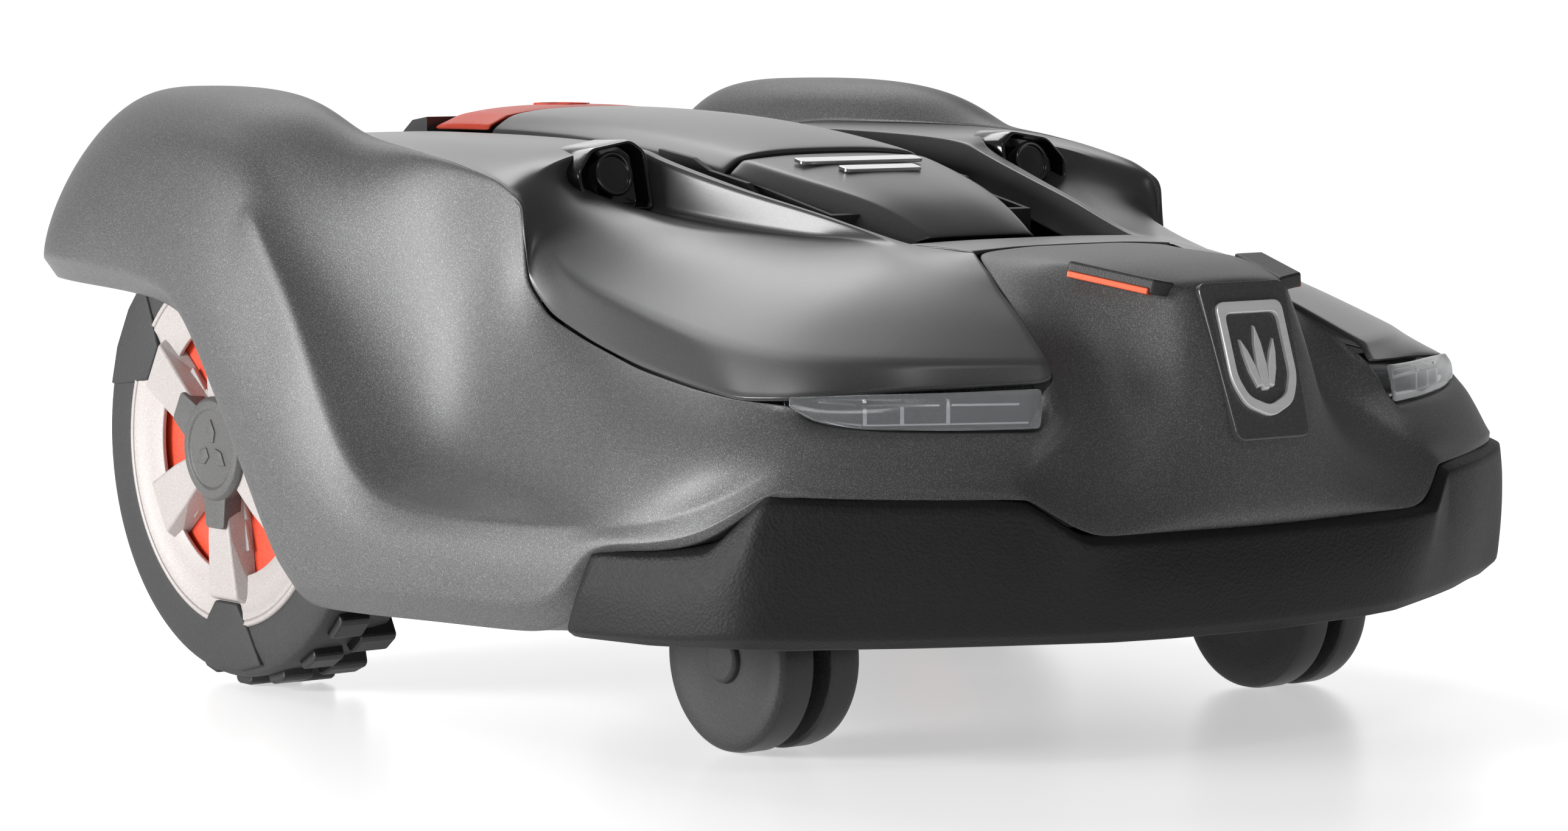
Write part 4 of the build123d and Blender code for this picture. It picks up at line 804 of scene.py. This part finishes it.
def consolePiece(name, columns, finishName, body, replaced, rows):
    middleY = sum(column[0][1] for column in columns) / len(columns)
    cagePiece(name, columns, (0, middleY * mm, 0.2), finishName, body, [replaced], console["wall"],
              rows=[(row, 0, None, amount) for row, amount in rows])


consolePiece("consoleFront", console["front"], "coverPlastic", "chassis", "console_front",
             [(2, 0.6), (3, 0.5)])
consolePiece("hatchLid", console["hatch"], "coverPlastic", "hatch", "hatch",
             [(2, 0.25), (3, 0.35)])
consolePiece("stopCap", console["stop"], "signalRed", "stop", "stop_button",
             [(2, 0.5), (3, 0.5)])
bm = bmesh.new()
armOutline = [(-55, 248), (-45, 247.5), (6, 262), (22, 270), (22, 276), (-6, 272), (-20, 266), (-51, 260.5),
              (-56, 255)]
armPlace = Matrix(((0, 0, 1, 0), (1, 0, 0, 0), (0, 1, 0, 0), (0, 0, 0, 1)))
prismBetween(bm, armOutline, 70.2, 73.8, armPlace)
latheProfile(bm, [(0, 0), (0, 3), (12, 3), (12.6, 2.4), (12.6, 0)], (59, -49, 254), (1, 0, 0), 32)
finishPiece("hatchArms", bm, "chassisPlastic", "hatch", (), smooth=False, soft=(0.8,),
            twoSided=True)
bm = bmesh.new()
slope = Matrix.Rotation(math.radians(console["trimSlope"]), 4, "X")
for y, z, half in console["trim"]:
    place = Matrix.Translation((0, y, z)) @ slope
    outline = roundedOutline([(-half, -4.2), (half, -4.2), (half, 4.2), (-half, 4.2)], 2.2, 4)
    prismBetween(bm, outline, -1.0, 0.9, place)
finishPiece("consoleTrim", bm, "brightTrim", "chassis", (), smooth=False, soft=(0.35, 2))
bm = bmesh.new()
octagon = [Matrix.Rotation(math.radians(22.5 + 45 * k), 2) @ Vector((console["ringR"], 0)) for k in range(8)]
ringRims = []
for grow, level in ((1.0, 293.5), (1.0, 295.3), (0.84, 295.3), (0.82, 293.5)):
    ringRims.append([bm.verts.new(Vector((u * grow, console["ringAt"] + v * grow, level)) * mm)
                     for u, v in octagon])
bridgeRings(bm, ringRims + ringRims[:1])
bmesh.ops.recalc_face_normals(bm, faces=bm.faces)
finishPiece("stopRing", bm, "signalRed", "stop", (), smooth=False, soft=(0.3, 2))
print("console done")

# ---------- rear wheels
wheel = {
    "axleY": 151.0,
    "axleZ": 123.0,
    "tyre": [(206, 90), (201, 98), (202, 110), (208, 115.5), (218, 117), (240, 117.5), (249, 118),
             (252.2, 116.6), (253.8, 112), (254.6, 104), (254.6, 96), (254.2, 92.4), (253, 90.5), (240, 89.5),
             (206, 87.5)],
    "bowl": [(204, 88), (204, 92.5), (207, 92.5), (210, 88.5), (246, 88.5), (251, 90.8), (254.4, 91.8),
             (255.2, 90.8), (254.4, 89)],
    "dishRings": [(254.4, 89), (253, 85), (251, 76), (250.4, 66), (249.8, 54), (249.4, 38), (249.4, 27),
                  (249.4, 20)],
    "windowReach": (27, 62),
    "windowHalf": 7.0,  # degrees, at the inner end
    "windowSpread": 0.36,  # degrees more for each millimetre outwards
    "divisions": 108,
    "discX": (244.5, 246.5),
    "lugCount": 24,
    "lugBands": ((227, 245.0), (203.5, 225)),
    "lug": [(-9.2, 110), (9.2, 110), (7.4, 121.6), (4.6, 122.8), (-4.6, 122.8), (-7.4, 121.6)],
    "lobe": [(-10.5, 79), (10.5, 79), (22, 93), (33, 109), (12, 114), (-12, 114), (-33, 109), (-22, 93)],
    "capLeg": [(-11.5, 18), (11.5, 18), (9.0, 41.5), (-9.0, 41.5)],
    "capPetal": [(-3.0, 3), (3.0, 3), (4.5, 9), (0, 16), (-4.5, 9)],
    "plainSpokes": (210, 330, 90),
    "lobedSpokes": (270, 150, 30),
    "cap": [(252, 0), (252, 24), (257, 27), (261.5, 27), (264, 25), (264.4, 21), (263.2, 19.6), (263.4, 0)],
}


def wheelPlace(s, degrees):
    # u across the spoke, v out along it, w away from the middle plane; 0 degrees points forward, 90 up
    angle = math.radians(degrees)
    radial = Vector((0, -math.cos(angle), math.sin(angle)))
    outAxis = Vector((s, 0, 0))
    across = radial.cross(outAxis)
    turned = Matrix((across, radial, outAxis)).transposed().to_4x4()
    return Matrix.Translation((0, wheel["axleY"], wheel["axleZ"])) @ turned


def spoke(bm, s, degrees, tip, halfTip):
    # a raised facet with sloping flanks, from the hub out to its tip
    place = wheelPlace(s, degrees)
    top = [(-7.5, 22, 260.4), (7.5, 22, 260.4), (halfTip * 0.8, tip * 0.6, 259.4), (halfTip, tip, 257.4),
           (-halfTip, tip, 257.4), (-halfTip * 0.8, tip * 0.6, 259.4)]
    foot = [(-9, 20, 246), (9, 20, 246), (halfTip, tip * 0.6, 246), (halfTip + 6, tip + 5, 247),
            (-halfTip - 6, tip + 5, 247), (-halfTip, tip * 0.6, 246)]
    upper = [bm.verts.new(place @ Vector(p) * mm) for p in top]
    lower = [bm.verts.new(place @ Vector(p) * mm) for p in foot]
    faces = [bm.faces.new((upper[0], upper[1], upper[2], upper[5])),
             bm.faces.new((upper[5], upper[2], upper[3], upper[4])), bm.faces.new(lower[::-1])]
    for k in range(6):
        n = (k + 1) % 6
        faces.append(bm.faces.new((lower[k], lower[n], upper[n], upper[k])))
    bmesh.ops.recalc_face_normals(bm, faces=faces)


for side, s in sides.items():
    onWheel = "wheel_" + side
    axle = (0, wheel["axleY"], wheel["axleZ"])
    bm = bmesh.new()
    latheProfile(bm, wheel["tyre"] + [wheel["tyre"][0]], axle, (s, 0, 0), 120)
    for degrees in wheel["lobedSpokes"]:
        prismBetween(bm, wheel["lobe"], 244, 255.9, wheelPlace(s, degrees), shrink=0.02)
    finishPiece("tyre_" + side, bm, "tyreRubber", onWheel, ["tyre_" + side], soft=(1.2, 3, 28))
    bm = bmesh.new()
    for k in range(wheel["lugCount"]):
        for stagger, (inner, outer) in zip((0, 0.5), wheel["lugBands"]):
            place = wheelPlace(s, (k + stagger) * 360 / wheel["lugCount"])
            prismBetween(bm, wheel["lug"], inner, outer, place)
    finishPiece("lugs_" + side, bm, "treadRubber", onWheel, (), smooth=False,
                soft=(1.3, 2, 40))

    bm = bmesh.new()
    latheProfile(bm, wheel["bowl"], axle, (s, 0, 0), wheel["divisions"])
    rimBand = finishPiece("rimBand_" + side, bm, "rimSilver", onWheel, ["wheel_rim_" + side])
    bandWall = rimBand.modifiers.new("wall", "SOLIDIFY")
    bandWall.thickness = 1.4 * mm
    bandWall.offset = 0
    bm = bmesh.new()
    divisions = wheel["divisions"]
    rings = []
    for a, r in wheel["dishRings"]:
        ring = []
        for k in range(divisions):
            angle = math.tau * k / divisions
            ring.append(bm.verts.new(Vector((s * a, axle[1] - r * math.cos(angle),
                                             axle[2] + r * math.sin(angle))) * mm))
        rings.append(ring)
    nearest, furthest = wheel["windowReach"]
    for j in range(len(rings) - 1):
        middleR = (wheel["dishRings"][j][1] + wheel["dishRings"][j + 1][1]) / 2
        for k in range(divisions):
            offset = ((k + 0.5) * 360 / divisions) % 60  # windows sit midway between the spokes
            offset = min(offset, 60 - offset)
            windowHalf = wheel["windowHalf"] + (middleR - nearest) * wheel["windowSpread"]
            if nearest < middleR < furthest and offset < windowHalf:
                continue
            n = (k + 1) % divisions
            bm.faces.new((rings[j][k], rings[j][n], rings[j + 1][n], rings[j + 1][k]))
    bmesh.ops.recalc_face_normals(bm, faces=bm.faces)
    dish = finishPiece("rimDish_" + side, bm, "rimSilver", onWheel, ())
    dishWall = dish.modifiers.new("wall", "SOLIDIFY")
    dishWall.thickness = 2.4 * mm
    dishWall.offset = 0
    softEdges(dish, 0.6, 2, 40)
    bm = bmesh.new()
    discIn, discOut = wheel["discX"]
    discProfile = [(discIn, 20), (discIn, 78), (discOut, 78), (discOut, 20), (discIn, 20)]
    latheProfile(bm, discProfile, axle, (s, 0, 0), 72)
    finishPiece("wheelDisc_" + side, bm, "signalRed", onWheel, ["wheel_disc_" + side],
                smooth=False)
    bm = bmesh.new()
    for degrees in wheel["plainSpokes"]:
        spoke(bm, s, degrees, 71, 14)
    for degrees in wheel["lobedSpokes"]:
        spoke(bm, s, degrees, 77, 13)
    finishPiece("spokes_" + side, bm, "rimSilver", onWheel, (), smooth=False, soft=(1.3, 3, 20))

    bm = bmesh.new()
    latheProfile(bm, wheel["cap"], axle, (s, 0, 0), 72)
    for degrees in wheel["lobedSpokes"]:
        leg = roundedOutline(wheel["capLeg"], 2.5, 3)
        prismBetween(bm, leg, 252, 261.8, wheelPlace(s, degrees), shrink=0.06)
    for degrees in wheel["plainSpokes"]:
        prismBetween(bm, wheel["capPetal"], 262.5, 264.2, wheelPlace(s, degrees), shrink=0.1)
    finishPiece("hubCap_" + side, bm, "capPlastic", onWheel, ["hub_cap_" + side],
                soft=(0.8, 3, 32))
print("rear wheels done")

# ---------- casters: two thick discs on each side of the fork arm
caster = {
    "centre": (169.0, -183.0, 45.0),
    "half": [(5.0, 12), (5.0, 43.6), (6.2, 45), (17.5, 45), (21.5, 44.2), (23.8, 42), (24.6, 38.5),
             (24.2, 34), (23.2, 27), (22.9, 17), (23.4, 12.5)],
    "cap": [(22.5, 0), (22.5, 12), (25.6, 11.4), (26.8, 9.6), (27, 0)],
    "treadFrom": 20.0,
}
for side, s in sides.items():
    cx, cy, cz = caster["centre"]
    centre = (s * cx, cy, cz)
    bm = bmesh.new()
    for way in (-1, 1):
        latheProfile(bm, caster["half"], centre, (way, 0, 0), 96)
    bmesh.ops.holes_fill(bm, edges=[e for e in bm.edges if e.is_boundary], sides=0)
    bmesh.ops.recalc_face_normals(bm, faces=bm.faces)
    for f in bm.faces:
        away = abs(f.calc_center_median().x - centre[0] * mm) / mm
        radius = math.hypot(f.calc_center_median().y - cy * mm, f.calc_center_median().z - cz * mm) / mm
        f.material_index = 1 if (radius > 40 and away < caster["treadFrom"]) else 0
    finishPiece("casterWheel_" + side, bm, ["casterPlastic", "casterTread"], "caster_" + side,
                ["caster_wheel_" + side, "caster_tyre_" + side], soft=(0.8, 3, 30))
    bm = bmesh.new()
    for way in (-1, 1):
        latheProfile(bm, caster["cap"], centre, (way, 0, 0), 48)
    finishPiece("casterCap_" + side, bm, "casterPlastic", "caster_" + side, (),
                soft=(0.5, 2, 30))
print("casters done")

# ---------- floor, light and camera
studio = {
    "lens": 110.0,
    "cameraPlace": (-1.5681, -1.9310, 0.3534),
    "azimuth": -38.97,
    "elevation": 5.0,
    "shift": (-0.0025, 0.0004),
    "floorHalf": 9.0,
    "airDim": 0.15,
    "airBright": 1.06,
    "airFrom": 0.70,
    "airTo": 0.93,
    "floorGlow": 0.50,  # lit from below, as a light table
    "softboxes": [
        ("keySide", (-2.9, 0.95, 0.74), (0, 0, 0.12), (1.4, 1.0), 104),
        ("overhead", (0.4, 1.5, 1.9), (0, 0.05, 0.2), (1.8, 0.8), 18),
        ("frontTop", (-0.9, -1.6, 2.2), (0, -0.15, 0.2), (0.9, 0.5), 5),
    ],
}


def softbox(name, place, target, size, power):
    lamp = bpy.data.lights.new(name, "AREA")
    lamp.shape = "RECTANGLE"
    lamp.size, lamp.size_y = size
    lamp.energy = power
    holder = bpy.data.objects.new(name, lamp)
    holder.location = place
    holder.rotation_mode = "QUATERNION"
    holder.rotation_quaternion = (Vector(target) - Vector(place)).to_track_quat("-Z", "Y")
    bpy.context.scene.collection.objects.link(holder)


def paleFloor():
    finish, nodes, links, shader = plainNodes("paleFloor")
    shader.inputs["Base Color"].default_value = (0.96, 0.96, 0.96, 1)
    shader.inputs["Emission Color"].default_value = (1, 1, 1, 1)
    shader.inputs["Emission Strength"].default_value = studio["floorGlow"]
    shader.inputs["Roughness"].default_value = 0.28
    shader.inputs["Specular IOR Level"].default_value = 0.6
    bm = bmesh.new()
    bmesh.ops.create_grid(bm, x_segments=1, y_segments=1, size=studio["floorHalf"])
    mesh = bpy.data.meshes.new("floor")
    bm.to_mesh(mesh)
    bm.free()
    mesh.materials.append(finish)
    floor = bpy.data.objects.new("floor", mesh)
    floor.location.z = -0.0005
    bpy.context.scene.collection.objects.link(floor)


paleFloor()
for settings in studio["softboxes"]:
    softbox(*settings)


def studioAir():
    # bright behind the object as the camera sees it, dim all round
    air = bpy.data.worlds.new("studioAir")
    air.use_nodes = True
    nodes, links = air.node_tree.nodes, air.node_tree.links
    nodes["Background"].inputs["Color"].default_value = (1, 1, 1, 1)
    heading = nodes.new("ShaderNodeTexCoord")
    facing = nodes.new("ShaderNodeVectorMath")
    facing.operation = "DOT_PRODUCT"
    turn = math.radians(studio["azimuth"])
    facing.inputs[1].default_value = (-math.sin(turn), math.cos(turn), 0.0)
    links.new(heading.outputs["Generated"], facing.inputs[0])
    glow = nodes.new("ShaderNodeMapRange")
    glow.interpolation_type = "SMOOTHSTEP"
    glow.inputs["From Min"].default_value = studio["airFrom"]
    glow.inputs["From Max"].default_value = studio["airTo"]
    glow.inputs["To Min"].default_value = studio["airDim"]
    glow.inputs["To Max"].default_value = studio["airBright"]
    links.new(facing.outputs["Value"], glow.inputs["Value"])
    links.new(glow.outputs["Result"], nodes["Background"].inputs["Strength"])
    bpy.context.scene.world = air


studioAir()
bpy.context.scene.view_settings.view_transform = "Standard"

lensData = bpy.data.cameras.new("camera")
lensData.lens = studio["lens"]
lensData.sensor_width = 36.0
lensData.shift_x, lensData.shift_y = studio["shift"]
camera = bpy.data.objects.new("camera", lensData)
turn, lift = math.radians(studio["azimuth"]), math.radians(studio["elevation"])
back = Vector((math.sin(turn) * math.cos(lift), -math.cos(turn) * math.cos(lift), math.sin(lift)))
camera.location = studio["cameraPlace"]
camera.rotation_mode = "QUATERNION"
camera.rotation_quaternion = (-back).to_track_quat("-Z", "Y")
bpy.context.scene.collection.objects.link(camera)
bpy.context.scene.camera = camera
print("floor, light and camera set")
